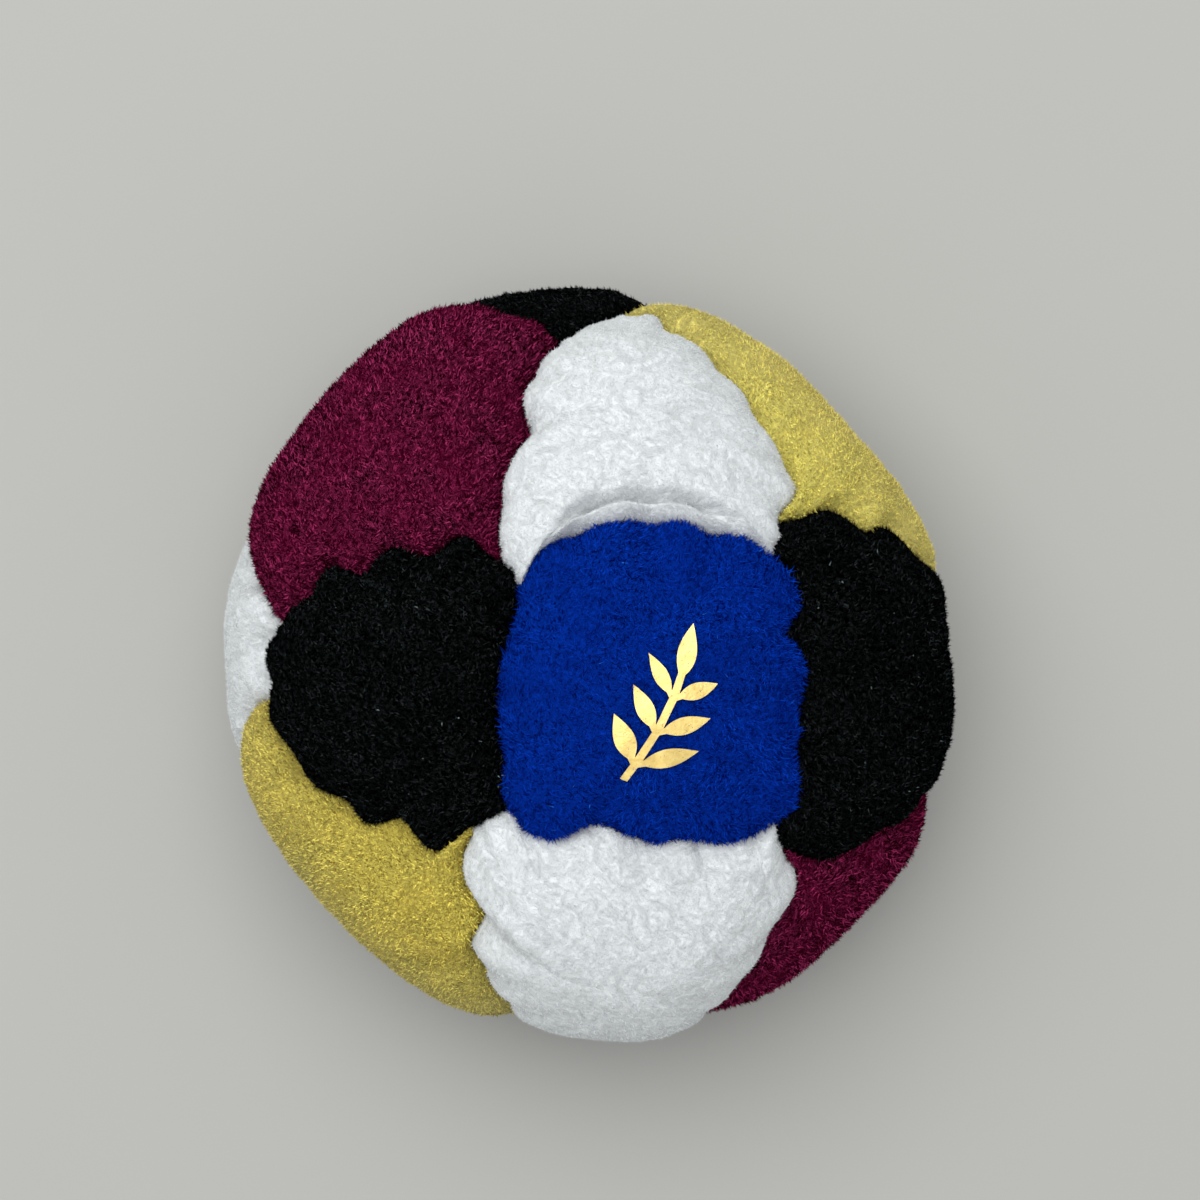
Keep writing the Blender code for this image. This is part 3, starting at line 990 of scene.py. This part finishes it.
class Wiring:
    """Adds nodes to one tree and links them."""

    def __init__(self, tree: bpy.types.NodeTree) -> None:
        """Keeps the tree."""
        self.tree = tree

    def feed(self, socket: Socket, value: object) -> None:
        """Links an input to what feeds it, or sets its value.

        Args:
            socket: the input.
            value: an output, a plain value, or a colour without its alpha.
        """
        if isinstance(value, Socket):
            self.tree.links.new(value, socket)
        else:
            socket.default_value = (*value, 1) if socket.type == "RGBA" else value

    def add(self, kind: str, settings: dict | None = None, **inputs: object) -> bpy.types.Node:
        """Adds a node.

        Args:
            kind: the node's type, without its ShaderNode.
            settings: the node's own properties.
            inputs: what feeds each input, by its name with _ for a space, or by i and its number.

        Returns:
            The node.
        """
        node = self.tree.nodes.new(f"ShaderNode{kind}")
        for key, value in (settings or {}).items():
            setattr(node, key, value)
        for key, value in inputs.items():
            self.feed(node.inputs[int(key[1:]) if key[1:].isdigit() else key.replace("_", " ")], value)
        return node

    def maths(self, operation: str, *values: object) -> Socket:
        """Adds a Math node and returns its output."""
        inputs = {f"i{place}": value for place, value in enumerate(values)}
        return self.add("Math", {"operation": operation}, **inputs).outputs[0]

    def vector(self, operation: str, first: object, second: object) -> Socket:
        """Adds a Vector Math node and returns its output."""
        return self.add("VectorMath", {"operation": operation}, i0=first, i1=second).outputs[0]

    def noise(self, place: Socket, scale: float, detail: float, roughness: float = 0.5) -> Socket:
        """Adds a noise texture and returns its value."""
        texture = self.add("TexNoise", None, Vector=place, Scale=scale, Detail=detail, Roughness=roughness)
        return texture.outputs["Fac"]

    def stretch(self, value: Socket, low: float, high: float) -> Socket:
        """A value spread so that low gives 0 and high gives 1."""
        step = {"interpolation_type": "SMOOTHSTEP"}
        return self.add("MapRange", step, Value=value, From_Min=low, From_Max=high).outputs["Result"]

    def blend(self, share: object, first: object, second: object) -> Socket:
        """A colour part of the way from the first to the second."""
        return self.add("Mix", {"data_type": "RGBA"}, i0=share, i6=first, i7=second).outputs[2]


class SharedGroup(Wiring):
    """A node group that several materials use. It takes a Vector in mm.

    Attributes:
        given: the sockets that its inputs arrive at.
        gives: the sockets that its outputs leave from.
    """

    def __init__(self, name: str, numbers: dict[str, float], outputs: tuple[str, ...]) -> None:
        """Starts the group.

        Args:
            name: its name.
            numbers: its other inputs, with their defaults.
            outputs: its outputs, which are numbers.
        """
        super().__init__(bpy.data.node_groups.new(name, "ShaderNodeTree"))
        face = self.tree.interface
        face.new_socket(name="Vector", in_out="INPUT", socket_type="NodeSocketVector")
        for key, default in numbers.items():
            socket = face.new_socket(name=key, in_out="INPUT", socket_type="NodeSocketFloat")
            socket.default_value = default
        for key in outputs:
            face.new_socket(name=key, in_out="OUTPUT", socket_type="NodeSocketFloat")
        self.given = self.tree.nodes.new("NodeGroupInput").outputs
        self.gives = self.tree.nodes.new("NodeGroupOutput").inputs


def add_brushed_nap_group() -> None:
    """Makes the group of short fibres that lie in brushed patches, which gives their tone and height."""
    numbers = {"Fibre Length": 0.7, "Fibre Width": 0.12, "Direction": 0.0, "Swirl": 0.6}
    group = SharedGroup("brushed_nap", numbers, ("Tone", "Height"))
    given = group.given
    patch = group.noise(given["Vector"], 0.35, 2.0)
    wander = group.maths("MULTIPLY", group.maths("SUBTRACT", patch, 0.5), given["Swirl"])
    direction = group.maths("ADD", given["Direction"], wander)
    across = group.maths("DIVIDE", 1.0, given["Fibre Width"])
    along = group.maths("DIVIDE", 1.0, given["Fibre Length"])
    squeeze = group.add("CombineXYZ", None, X=along, Y=across, Z=1.0).outputs[0]
    layers = []
    for lean, shift in ((-0.28, 0.0), (0.3, 37.0)):
        angle = group.maths("MULTIPLY", group.maths("ADD", direction, lean), -1.0)
        turned = group.add("VectorRotate", {"rotation_type": "Z_AXIS"}, Vector=given["Vector"], Angle=angle)
        moved = group.vector("ADD", turned.outputs[0], (shift, shift, shift))
        layers.append(group.noise(group.vector("MULTIPLY", moved, squeeze), 0.75, 2.5, 0.6))
    woven = group.maths("MULTIPLY", group.maths("ADD", *layers), 0.5)
    group.feed(group.gives["Tone"], group.stretch(woven, 0.36, 0.64))
    group.feed(group.gives["Height"], group.maths("MAXIMUM", *layers))


def add_pile_patches_group() -> None:
    """Makes the group of patches where the pile was brushed another way, and of its small pits."""
    group = SharedGroup("pile_patches", {}, ("Patches", "Pits"))
    for name, scale, roughness, low, high in (("Patches", 0.22, 0.6, 0.3, 0.7), ("Pits", 2.6, 0.65, 0.34, 0.66)):
        spots = group.noise(group.given["Vector"], scale, 3.0, roughness)
        group.feed(group.gives[name], group.stretch(spots, low, high))


def add_lint_group() -> None:
    """Makes the group of a few small specks of lint, which gives 1 on a speck."""
    speckless_share = 0.72
    smallest = 0.4
    group = SharedGroup("lint", {"Spacing": 2.0, "Size": 0.06}, ("Specks",))
    vector, spacing, size = (group.given[name] for name in ("Vector", "Spacing", "Size"))
    scale = group.maths("DIVIDE", 1.0, spacing)
    cells = group.add("TexVoronoi", None, Vector=vector, Scale=scale, Randomness=1.0).outputs
    drawn = group.add("SeparateColor", None, Color=cells["Color"]).outputs
    few = group.maths("GREATER_THAN", drawn[0], speckless_share)
    radius = group.maths("DIVIDE", size, spacing)
    radius = group.maths("MULTIPLY", radius, group.maths("ADD", drawn[1], smallest))
    near = group.maths("LESS_THAN", cells["Distance"], radius)
    group.feed(group.gives["Specks"], group.maths("MULTIPLY", few, near))


class Surface(Wiring):
    """The nodes of one material, round its Principled shader."""

    def __init__(self, name: str) -> None:
        """Starts the material."""
        self.material = bpy.data.materials.new(name)
        self.material.use_nodes = True
        super().__init__(self.material.node_tree)

    def place(self) -> Socket:
        """The place on the object, in metres."""
        return self.add("TexCoord").outputs["Object"]

    def cut_place(self) -> Socket:
        """The place in the flat cut, in mm."""
        cut = self.add("UVMap", {"uv_map": "cut"}).outputs[0]
        return self.add("Mapping", None, Vector=cut, Scale=(1000, 1000, 1000), Location=(50, 50, 0)).outputs[0]

    def group(self, name: str, **inputs: object) -> bpy.types.bpy_prop_collection:
        """Adds a shared group and returns its outputs."""
        return self.add("Group", {"node_tree": bpy.data.node_groups[name]}, **inputs).outputs

    def bump(self, height: Socket, distance: float, strength: float = 1.0) -> Socket:
        """The normals of a relief."""
        return self.add("Bump", None, Strength=strength, Distance=distance, Height=height).outputs[0]

    def finish(self, **inputs: object) -> Material:
        """Ends the material.

        Args:
            inputs: what feeds each of the shader's inputs, by its name with _ for a space.

        Returns:
            The material.
        """
        shader = self.tree.nodes["Principled BSDF"]
        for key, value in inputs.items():
            self.feed(shader.inputs[key.replace("_", " ")], value)
        return self.material


@dataclass(frozen=True)
class Suede:
    """A suede in one colour.

    Attributes:
        slot: a name for its material slot; not used.
        dark: colour between and under the fibres.
        light: colour of the fibres that catch the light.
        pale: colour of patches brushed towards the light.
        pale_share: how strongly the patches show.
        lint: colour of the specks on it.
        lint_share: how strongly the specks show.
        clean_share: the share of the single fibres that aren't lint.
        sheen: how much light the fibre tips catch at the rim.
        sheen_tint: colour of that light.
        relief: depth of the nap in metres.
        swirl: how much the nap's direction wanders, in radians.
        darkest: the share of the nap that stays dark.
        lead: how far under that share the nap starts to lighten.
        spread: how gradually the nap goes from dark to light.
        grain: length and width of the marks in the nap, in mm.
        pits_share: how much the pits count in the nap's tone.
        pits_depth: how much they count in its relief.
        shine_share: how much smoother the light fibres are.
        specular: how much its fibres shine.
        rim_sheen_shade: colour of the painted shade and sheen on the nap low down at the bag's rim, darker and
            greyer.
        rim_sheen_shade_share: how strongly that shows.
        rim_sheen_shade_heights: heights at which it starts and is full, in metres.
        crepe: length and width in mm of the small wrinkles under the nap, and how strong they are.
    """

    slot: str
    dark: Triple
    light: Triple
    pale: Triple
    pale_share: float = 0.35
    lint: Triple = (0.5, 0.5, 0.5)
    lint_share: float = 0.0
    clean_share: float = 0.9988
    sheen: float = 0.0
    sheen_tint: Triple = (1.0, 1.0, 1.0)
    relief: float = 0.00012
    swirl: float = 2.5
    darkest: float = 0.3
    lead: float = 0.15
    spread: float = 0.55
    grain: Pair = (0.45, 0.15)
    pits_share: float = 0.2
    pits_depth: float = 0.5
    shine_share: float = 0.15
    specular: float = 0.02
    rim_sheen_shade: Triple = (0.5, 0.5, 0.5)
    rim_sheen_shade_share: float = 0.0
    rim_sheen_shade_heights: Pair = (0.026, 0.015)
    crepe: Triple | None = None

    def material(self, name: str, direction: float) -> Material:
        """Makes the suede's material for one panel.

        Args:
            name: the material's name.
            direction: which way the nap lies in the flat cut, in radians.

        Returns:
            The material.
        """
        surface = Surface(name)
        spot = surface.cut_place()
        lie = {"Vector": spot, "Direction": direction, "Swirl": self.swirl}
        nap = surface.group("brushed_nap", **lie, Fibre_Length=self.grain[0], Fibre_Width=self.grain[1])
        specks = surface.group("lint", Vector=spot)["Specks"] if self.lint_share else None
        tone, colour, pits = self._coloured(surface, spot, nap["Tone"], specks)
        height = surface.maths("ADD", nap["Height"], surface.maths("MULTIPLY", pits, self.pits_depth))
        if self.crepe:
            length, width, strength = self.crepe
            wrinkles = surface.group("brushed_nap", **lie, Fibre_Length=length, Fibre_Width=width)
            height = surface.maths("MULTIPLY_ADD", wrinkles["Height"], strength, height)
        roughness = surface.maths("SUBTRACT", 1.0, surface.maths("MULTIPLY", tone, self.shine_share))
        normal = surface.bump(height, self.relief)
        return surface.finish(Base_Color=colour, Normal=normal, Roughness=roughness, **self._constants())

    def fibre_material(self, name: str) -> Material:
        """Makes the material of the suede's single fibres.

        Args:
            name: the material's name.

        Returns:
            The material.
        """
        surface = Surface(name)
        tone = {"attribute_type": "GEOMETRY", "attribute_name": "tone"}
        drawn = surface.add("Attribute", tone).outputs["Fac"]
        specks = surface.maths("GREATER_THAN", drawn, self.clean_share) if self.lint_share else None
        colour = self._coloured(surface, surface.cut_place(), drawn, specks)[1]
        return surface.finish(Base_Color=colour, Roughness=0.8, **self._constants())

    def _coloured(
        self, surface: Surface, spot: Socket, marks: Socket, specks: Socket | None
    ) -> tuple[Socket, Socket, Socket]:
        """Colours the nap, from between its fibres to the painted shade and sheen low down at its rim, and its
        lint.

        Args:
            surface: the material's nodes.
            spot: the place in the flat cut, in mm.
            marks: how light each fibre is by itself.
            specks: 1 on a speck of lint.

        Returns:
            The nap's tone, its colour and its pits.
        """
        patches = surface.group("pile_patches", Vector=spot)
        pits = surface.maths("MULTIPLY", patches["Pits"], self.pits_share)
        tone = surface.maths("MULTIPLY_ADD", marks, 1 - self.pits_share, pits)
        first = self.darkest - self.lead
        tone = surface.stretch(tone, first, first + self.spread)
        colour = surface.blend(tone, self.dark, self.light)
        brushed = surface.maths("MULTIPLY", patches["Patches"], self.pale_share)
        colour = surface.blend(brushed, colour, self.pale)
        # Painted shade and sheen: low down towards the rim the nap is blended to a darker, greyer colour
        if self.rim_sheen_shade_share:
            height = surface.add("SeparateXYZ", None, Vector=surface.place()).outputs["Z"]
            rim = surface.maths("MULTIPLY", surface.stretch(height, *self.rim_sheen_shade_heights), self.rim_sheen_shade_share)
            colour = surface.blend(rim, colour, self.rim_sheen_shade)
        if specks is not None:
            colour = surface.blend(surface.maths("MULTIPLY", specks, self.lint_share), colour, self.lint)
        return tone, colour, patches["Pits"]

    def _constants(self) -> dict[str, object]:
        """The shader's plain values, by the names of its inputs."""
        sheen = {"Sheen_Weight": self.sheen, "Sheen_Roughness": 0.5, "Sheen_Tint": self.sheen_tint}
        return {"Specular_IOR_Level": self.specular, **sheen}


SUEDES = {
    "blue": Suede(
        slot="blue_suede", dark=(0.0001, 0.0008, 0.055), light=(0.0018, 0.041, 0.43),
        pale=(0.0006, 0.024, 0.30), lint=(0.03, 0.20, 0.7), lint_share=0.5, swirl=5.0, darkest=0.40,
        spread=0.42, specular=0.005,
    ),
    "white": Suede(
        slot="white_suede", dark=(0.44, 0.468, 0.482), light=(0.695, 0.724, 0.729),
        pale=(0.638, 0.667, 0.672), lint=(0.12, 0.13, 0.2), lint_share=0.7, relief=0.00007, swirl=1.0,
        darkest=0.12, grain=(0.36, 0.13), crepe=(1.2, 0.30, 0.85),
    ),
    "black": Suede(
        slot="black_suede", dark=(0.0, 0.0, 0.0), light=(0.031, 0.037, 0.038),
        pale=(0.0001, 0.0002, 0.0002), lint=(0.25, 0.33, 0.34), lint_share=0.6, darkest=0.73, spread=0.38,
        specular=0.0,
    ),
    "magenta": Suede(
        slot="magenta_suede", dark=(0.008, 0.0, 0.0008), light=(0.36, 0.030, 0.118),
        pale=(0.105, 0.001, 0.022), swirl=1.6, darkest=0.62, spread=0.40, specular=0.0,
    ),
    "yellow": Suede(
        slot="yellow_suede", dark=(0.11, 0.068, 0.005), light=(1.0, 0.85, 0.16), pale=(0.75, 0.58, 0.10),
        sheen=0.03, sheen_tint=(1.0, 0.96, 0.85), swirl=3.0, darkest=0.39, grain=(0.30, 0.13),
        relief=0.00015, rim_sheen_shade=(0.37, 0.335, 0.145), rim_sheen_shade_share=0.65,
    ),
    # The same yellow suede, painted lighter and paler for yellow_ne: painted light on the panel that faces the
    # lamp more
    "yellow_painted_lit": Suede(
        slot="yellow_suede", dark=(0.15, 0.105, 0.010), light=(1.0, 0.89, 0.19), pale=(0.96, 0.81, 0.20),
        sheen=0.05, sheen_tint=(1.0, 0.98, 0.9), swirl=3.0, darkest=0.29, grain=(0.30, 0.13),
        relief=0.00016, rim_sheen_shade=(0.55, 0.47, 0.17), rim_sheen_shade_share=0.55,
    ),
}


@dataclass(frozen=True)
class GoldFoil:
    """Pressed gold foil, satin and a little grainy from the nap under it."""

    slot: str = "gold_foil"
    colour: Triple = (0.86, 0.66, 0.24)
    worn: Triple = (0.74, 0.53, 0.16)
    relief: float = 0.00003

    def material(self) -> Material:
        """Makes the foil's material.

        Returns:
            The material.
        """
        surface = Surface("gold_foil")
        place = surface.place()
        grain = surface.noise(place, 5200.0, 3.0, 0.6)
        wear = surface.stretch(surface.noise(place, 1400.0, 4.0, 0.7), 0.35, 0.75)
        colour, normal = surface.blend(wear, self.colour, self.worn), surface.bump(grain, self.relief)
        roughness = surface.maths("MULTIPLY_ADD", grain, 0.25, 0.32)
        return surface.finish(Base_Color=colour, Normal=normal, Roughness=roughness, Metallic=0.85)


@dataclass(frozen=True)
class WaxedThread:
    """Pale waxed thread with a twist."""

    slot: str = "sewing_thread"
    colour: Triple = (0.60, 0.57, 0.51)
    # Painted shade in the grooves of the twist
    groove: Triple = (0.38, 0.35, 0.30)
    relief: float = 0.00004

    def material(self) -> Material:
        """Makes the thread's material.

        Returns:
            The material.
        """
        surface = Surface("sewing_thread")
        bands = {"wave_type": "BANDS", "bands_direction": "DIAGONAL"}
        twist = surface.add("TexWave", bands, Vector=surface.place(), Scale=900.0, Distortion=2.0).outputs["Fac"]
        # Painted shade: the twist's grooves are painted darker than its ridges
        colour, normal = surface.blend(twist, self.groove, self.colour), surface.bump(twist, self.relief, 0.8)
        return surface.finish(Base_Color=colour, Normal=normal, Roughness=0.55)


@dataclass(frozen=True)
class PlasticPellets:
    """A mass of small pale pellets."""

    slot: str = "plastic_pellets"
    colour: Triple = (0.74, 0.72, 0.66)
    # Painted shade between the pellets
    shade: Triple = (0.30, 0.28, 0.25)
    pellet: float = 0.0009

    def material(self) -> Material:
        """Makes the fill's material.

        Returns:
            The material.
        """
        surface = Surface("plastic_pellets")
        cells = surface.add("TexVoronoi", {"feature": "SMOOTH_F1"}, Vector=surface.place(), Scale=1 / self.pellet)
        top = surface.maths("SUBTRACT", 1.0, cells.outputs["Distance"])
        # Painted shade: each pellet is painted darker towards its edge and lighter at its middle
        colour = surface.blend(surface.stretch(top, 0.3, 0.7), self.shade, self.colour)
        return surface.finish(Base_Color=colour, Normal=surface.bump(top, self.pellet / 2), Roughness=0.45)


@dataclass(frozen=True)
class FoilSprig:
    """A leaf sprig of gold foil that hugs the crown of the panel that faces up."""

    length: float = 0.0130
    stem_width: float = 0.0006
    leaf_length: float = 0.0042
    leaf_width: float = 0.0015
    leaf_spacing: float = 0.0029
    first_leaf_rise: float = 0.0016
    leaf_pairs: int = 3
    leaf_lean: float = math.radians(50)
    turn: float = math.radians(-24)
    stem_bow_share: float = 0.07
    smallest_leaf_share: float = 0.7
    leaf_steps: int = 12
    leaf_fullness: float = 0.85
    thickness: float = 0.00012
    above: float = 0.00022
    cell: float = 0.0004

    def leaf(self, base: Vector, way: Vector, share: float) -> list[Vector]:
        """One leaf's outline, from its base round its tip and back."""
        across = Vector((-way.y, way.x))
        steps = [step / self.leaf_steps for step in range(1, self.leaf_steps)]
        length, half = self.leaf_length * share, self.leaf_width * share / 2
        spine = [base + way * length * step for step in steps]
        sides = [across * half * math.sin(math.pi * step**self.leaf_fullness) for step in steps]
        going = [place - side for place, side in zip(spine, sides)]
        coming = [place + side for place, side in zip(spine, sides)]
        return [*going, base + way * length, *reversed(coming)]

    def outline(self) -> list[Vector]:
        """The sprig's outline, upright: up its right side, round the end leaf and down its left."""
        foot = Vector((0, -self.length / 2))
        lean = Vector((math.sin(self.leaf_lean), math.cos(self.leaf_lean)))
        right = [foot + Vector((self.stem_width / 2, 0))]
        for pair in range(self.leaf_pairs):
            share = 1 - (1 - self.smallest_leaf_share) * pair / self.leaf_pairs
            base = foot + Vector((self.stem_width / 2, self.first_leaf_rise + self.leaf_spacing * pair))
            half_neck = Vector((0, self.stem_width / 2))
            right += [base - half_neck, *self.leaf(base, lean, share), base + half_neck]
        end_leaf = self.leaf(Vector((0, self.length / 2 - self.leaf_length)), Vector((0, 1)), 1)
        return right + end_leaf + [Vector((-point.x, point.y)) for point in reversed(right)]

    def build(self, panel: Piece, centre: Vector) -> Piece:
        """Cuts the foil and lays it on the panel.

        Args:
            panel: the suede that it is pressed on.
            centre: where its middle lies in plan.

        Returns:
            The sprig's object.
        """
        shape = bmesh.new()
        turn = Matrix.Rotation(self.turn, 2)
        for point in self.outline():
            bow = self.stem_bow_share * self.length * math.cos(math.pi * point.y / self.length)
            shape.verts.new((centre + turn @ (point + Vector((bow, 0)))).to_3d())
        shape.faces.new(shape.verts).normal_update()
        bmesh.ops.triangulate(shape, faces=shape.faces[:])
        for axis in (Vector((1, 0, 0)), Vector((0, 1, 0))):
            start = centre.to_3d() - axis * self.length * 0.7
            for step in range(round(1.4 * self.length / self.cell)):
                geometry = shape.verts[:] + shape.edges[:] + shape.faces[:]
                place = start + axis * self.cell * step
                bmesh.ops.bisect_plane(shape, geom=geometry, dist=self.cell / 100, plane_co=place, plane_no=axis)
        bmesh.ops.remove_doubles(shape, verts=shape.verts, dist=self.cell / 50)
        tree = BVHTree.FromObject(panel, bpy.context.evaluated_depsgraph_get())
        for vert in shape.verts:
            high = Vector((vert.co.x, vert.co.y, 1))
            vert.co = tree.ray_cast(high, Vector((0, 0, -1)))[0] + Vector((0, 0, self.above))
        bmesh.ops.smooth_vert(shape, verts=shape.verts, factor=0.3, use_axis_z=True)
        bmesh.ops.recalc_face_normals(shape, faces=shape.faces)
        bmesh.ops.solidify(shape, geom=shape.faces[:], thickness=-self.thickness)
        piece = finished("gold_sprig", shape)
        shade(piece.data)
        return piece


def corners_of_triangle(first: str, second: str, third: str) -> list[Corner]:
    """The six corners of the clipped triangle between three squares, in order."""
    ways = ((third, first, second), (first, second, third), (second, third, first))
    return [corner for before, here, after in ways for corner in ((here, before), (here, after))]


def corners_of_square(square: Square) -> list[Corner]:
    """The four corners of a square panel, in order."""
    return [(square.value, near) for near in NEIGHBOURS[square]]


# Each panel: its corners, its suede and which way its nap lies, in degrees
PANELS = {
    "blue_front": (corners_of_square(Square.UP), "blue", 60),
    "blue_back": (corners_of_square(Square.DOWN), "blue", 20),
    "magenta_nw": (corners_of_square(Square.NW), "magenta", 65),
    "magenta_se": (corners_of_square(Square.SE), "magenta", 60),
    # yellow_ne wears the yellow suede painted lighter: painted light
    "yellow_ne": (corners_of_square(Square.NE), "yellow_painted_lit", 120),
    "yellow_sw": (corners_of_square(Square.SW), "yellow", 120),
    "white_front_n": (corners_of_triangle("up", "nw", "ne"), "white", 10),
    "black_front_e": (corners_of_triangle("up", "ne", "se"), "black", 80),
    "white_front_s": (corners_of_triangle("up", "se", "sw"), "white", 20),
    "black_front_w": (corners_of_triangle("up", "sw", "nw"), "black", 80),
    "black_back_n": (corners_of_triangle("down", "ne", "nw"), "black", 40),
    "white_back_e": (corners_of_triangle("down", "se", "ne"), "white", 70),
    "black_back_s": (corners_of_triangle("down", "sw", "se"), "black", 10),
    "white_back_w": (corners_of_triangle("down", "nw", "sw"), "white", 80),
}


def seam_of(thread: str) -> list[Corner]:
    """The two corners between which a thread runs, read from the panels that it is named for."""
    first, second = (set(corners) for name, (corners, _, _) in PANELS.items() if name in thread)
    return sorted(first & second)


@dataclass
class Footbag:
    """The whole bag: its panels with their nap, its foil sprig, its thread and its fill."""

    fibres: dict[str, tuple[int, float, float]] = field(
        default_factory=lambda: {
            "blue": (14, 0.00058, 0.00011),
            "white": (14, 0.00024, 0.00007),
            "black": (13, 0.00040, 0.00014),
            "magenta": (14, 0.00050, 0.00014),
            "yellow": (14, 0.00036, 0.00012),
        }
    )
    sprig: FoilSprig = FoilSprig()
    body: SettledBody = SettledBody()
    stitching: Stitching = Stitching()
    merge_distance: float = 1e-7
    fill_ease: float = 0.0022
    fill_heart: Triple = (0.0, 0.0, 0.0145)

    def build(self) -> None:
        """Builds every piece, from the panels to the fill."""
        for add_group in (add_brushed_nap_group, add_pile_patches_group, add_lint_group):
            add_group()
        built = {}
        for number, (name, (corners, colour, degrees)) in enumerate(PANELS.items(), 1):
            panel = SuedePanel(name, corners, number * 10, TUCKED_SEAMS.get(name))
            built[name] = panel.build()
            self.dress(panel, built[name], SUEDES[colour], math.radians(degrees))
        self.add_sprig(built["blue_front"])
        self.add_thread_and_fill()

    def dress(self, panel: SuedePanel, piece: Piece, suede: Suede, direction: float) -> None:
        """Args:
            panel: the panel's sizes.
            piece: its object.
            suede: its finish.
            direction: which way its nap lies, in radians.
        """
        colour = panel.name.split("_")[0]
        doublings, length, width = self.fibres[colour]
        nap = Nap(doublings, length, width, direction, suede.swirl, panel.seed + 5).build(panel)
        piece.data.materials.append(suede.material(piece.name, direction))
        nap.data.materials.append(suede.fibre_material(nap.name))
        flat, area = panel.flat_size()
        for part in (piece, nap):
            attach(part, "root")
        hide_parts(f"panel_{panel.name}")
        faces, fibre_faces = len(piece.data.polygons), len(nap.data.polygons)
        LOG.info("%s: %d faces, and %d in its nap", piece.name, faces, fibre_faces)

    def add_sprig(self, panel: Piece) -> None:
        """Lays the foil sprig on the panel that faces up."""
        middle = self.body.middle(corners_of_square(Square.UP))
        piece = self.sprig.build(panel, Vector(self.body.point(middle, 0.0)[:2]))
        finish = GoldFoil()
        piece.data.materials.append(finish.material())
        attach(piece, "root")
        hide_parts("foil_sprig")
        LOG.info("%s: %d faces", piece.name, len(piece.data.polygons))

    def add_thread_and_fill(self) -> None:
        """Lays the stitches and the fill in the slouched bag, each in place of its CAD node."""
        thread, fill = WaxedThread(), PlasticPellets()
        finishes = {"thread": (thread, thread.material()), "granular": (fill, fill.material())}
        for name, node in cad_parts.items():
            kind = name.split("_")[0]
            if kind not in finishes:
                continue
            finish, material = finishes[kind]
            shape = bmesh.new()
            shape.from_mesh(node.data)
            bmesh.ops.remove_doubles(shape, verts=shape.verts, dist=self.merge_distance)
            piece = finished(name.replace("thread", "stitches").replace("granular", "loose"), shape)
            places = self.body.slouched(read_places(piece.data))
            if kind == "thread":
                places = self.stitching.strayed(places, *seam_of(name))
            else:
                places -= unit(places - self.fill_heart) * self.fill_ease
            write_places(piece.data, places)
            piece.data.materials.clear()
            piece.data.materials.append(material)
            shade(piece.data)
            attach(piece, "root")
            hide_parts(name)
            LOG.info("%s: %d faces", piece.name, len(piece.data.polygons))


@dataclass(frozen=True)
class Studio:
    """A pale floor and soft light from above."""

    floor_side: float = 6.0
    floor_drop: float = 0.00005
    floor_colour: Triple = (0.350, 0.350, 0.329)
    darker_share: float = 0.975
    sky: float = 0.74
    sky_colour: Triple = (0.97, 0.98, 1.0)
    lamp_side: float = 1.0
    lamp_place: Triple = (-0.16, 0.28, 0.88)
    lamp_watts: float = 9.0

    def build(self) -> None:
        """Makes the floor, the light and the sky."""
        scene = bpy.context.scene
        scene.view_settings.view_transform = "Standard"
        shape = bmesh.new()
        bmesh.ops.create_grid(shape, x_segments=1, y_segments=1, size=self.floor_side / 2)
        floor = finished("floor", shape)
        floor.location.z = -self.floor_drop
        floor.data.materials.append(self.paint())
        lamp = bpy.data.lights.new("softbox", "AREA")
        lamp.size = self.lamp_side
        lamp.energy = self.lamp_watts
        softbox = bpy.data.objects.new("softbox", lamp)
        softbox.location = self.lamp_place
        softbox.rotation_euler = Vector(self.lamp_place).to_track_quat("Z", "Y").to_euler()
        scene.collection.objects.link(softbox)
        world = bpy.data.worlds.new("studio")
        world.use_nodes = True
        background = world.node_tree.nodes["Background"]
        background.inputs["Color"].default_value = (*self.sky_colour, 1)
        background.inputs["Strength"].default_value = self.sky
        scene.world = world

    def paint(self) -> Material:
        """Makes the floor's smooth pale paint.

        Returns:
            Its material.
        """
        surface = Surface("floor_paint")
        grain = surface.noise(surface.place(), 35.0, 4.0)
        darker = tuple(value * self.darker_share for value in self.floor_colour)
        return surface.finish(Base_Color=surface.blend(grain, darker, self.floor_colour), Roughness=0.6)


def main() -> None:
    """Builds the bag and its studio."""
    logging.basicConfig(level=logging.INFO, format="%(name)s: %(message)s")
    PhotoView().build()
    Studio().build()
    Footbag().build()


if __name__ == "__main__":
    main()
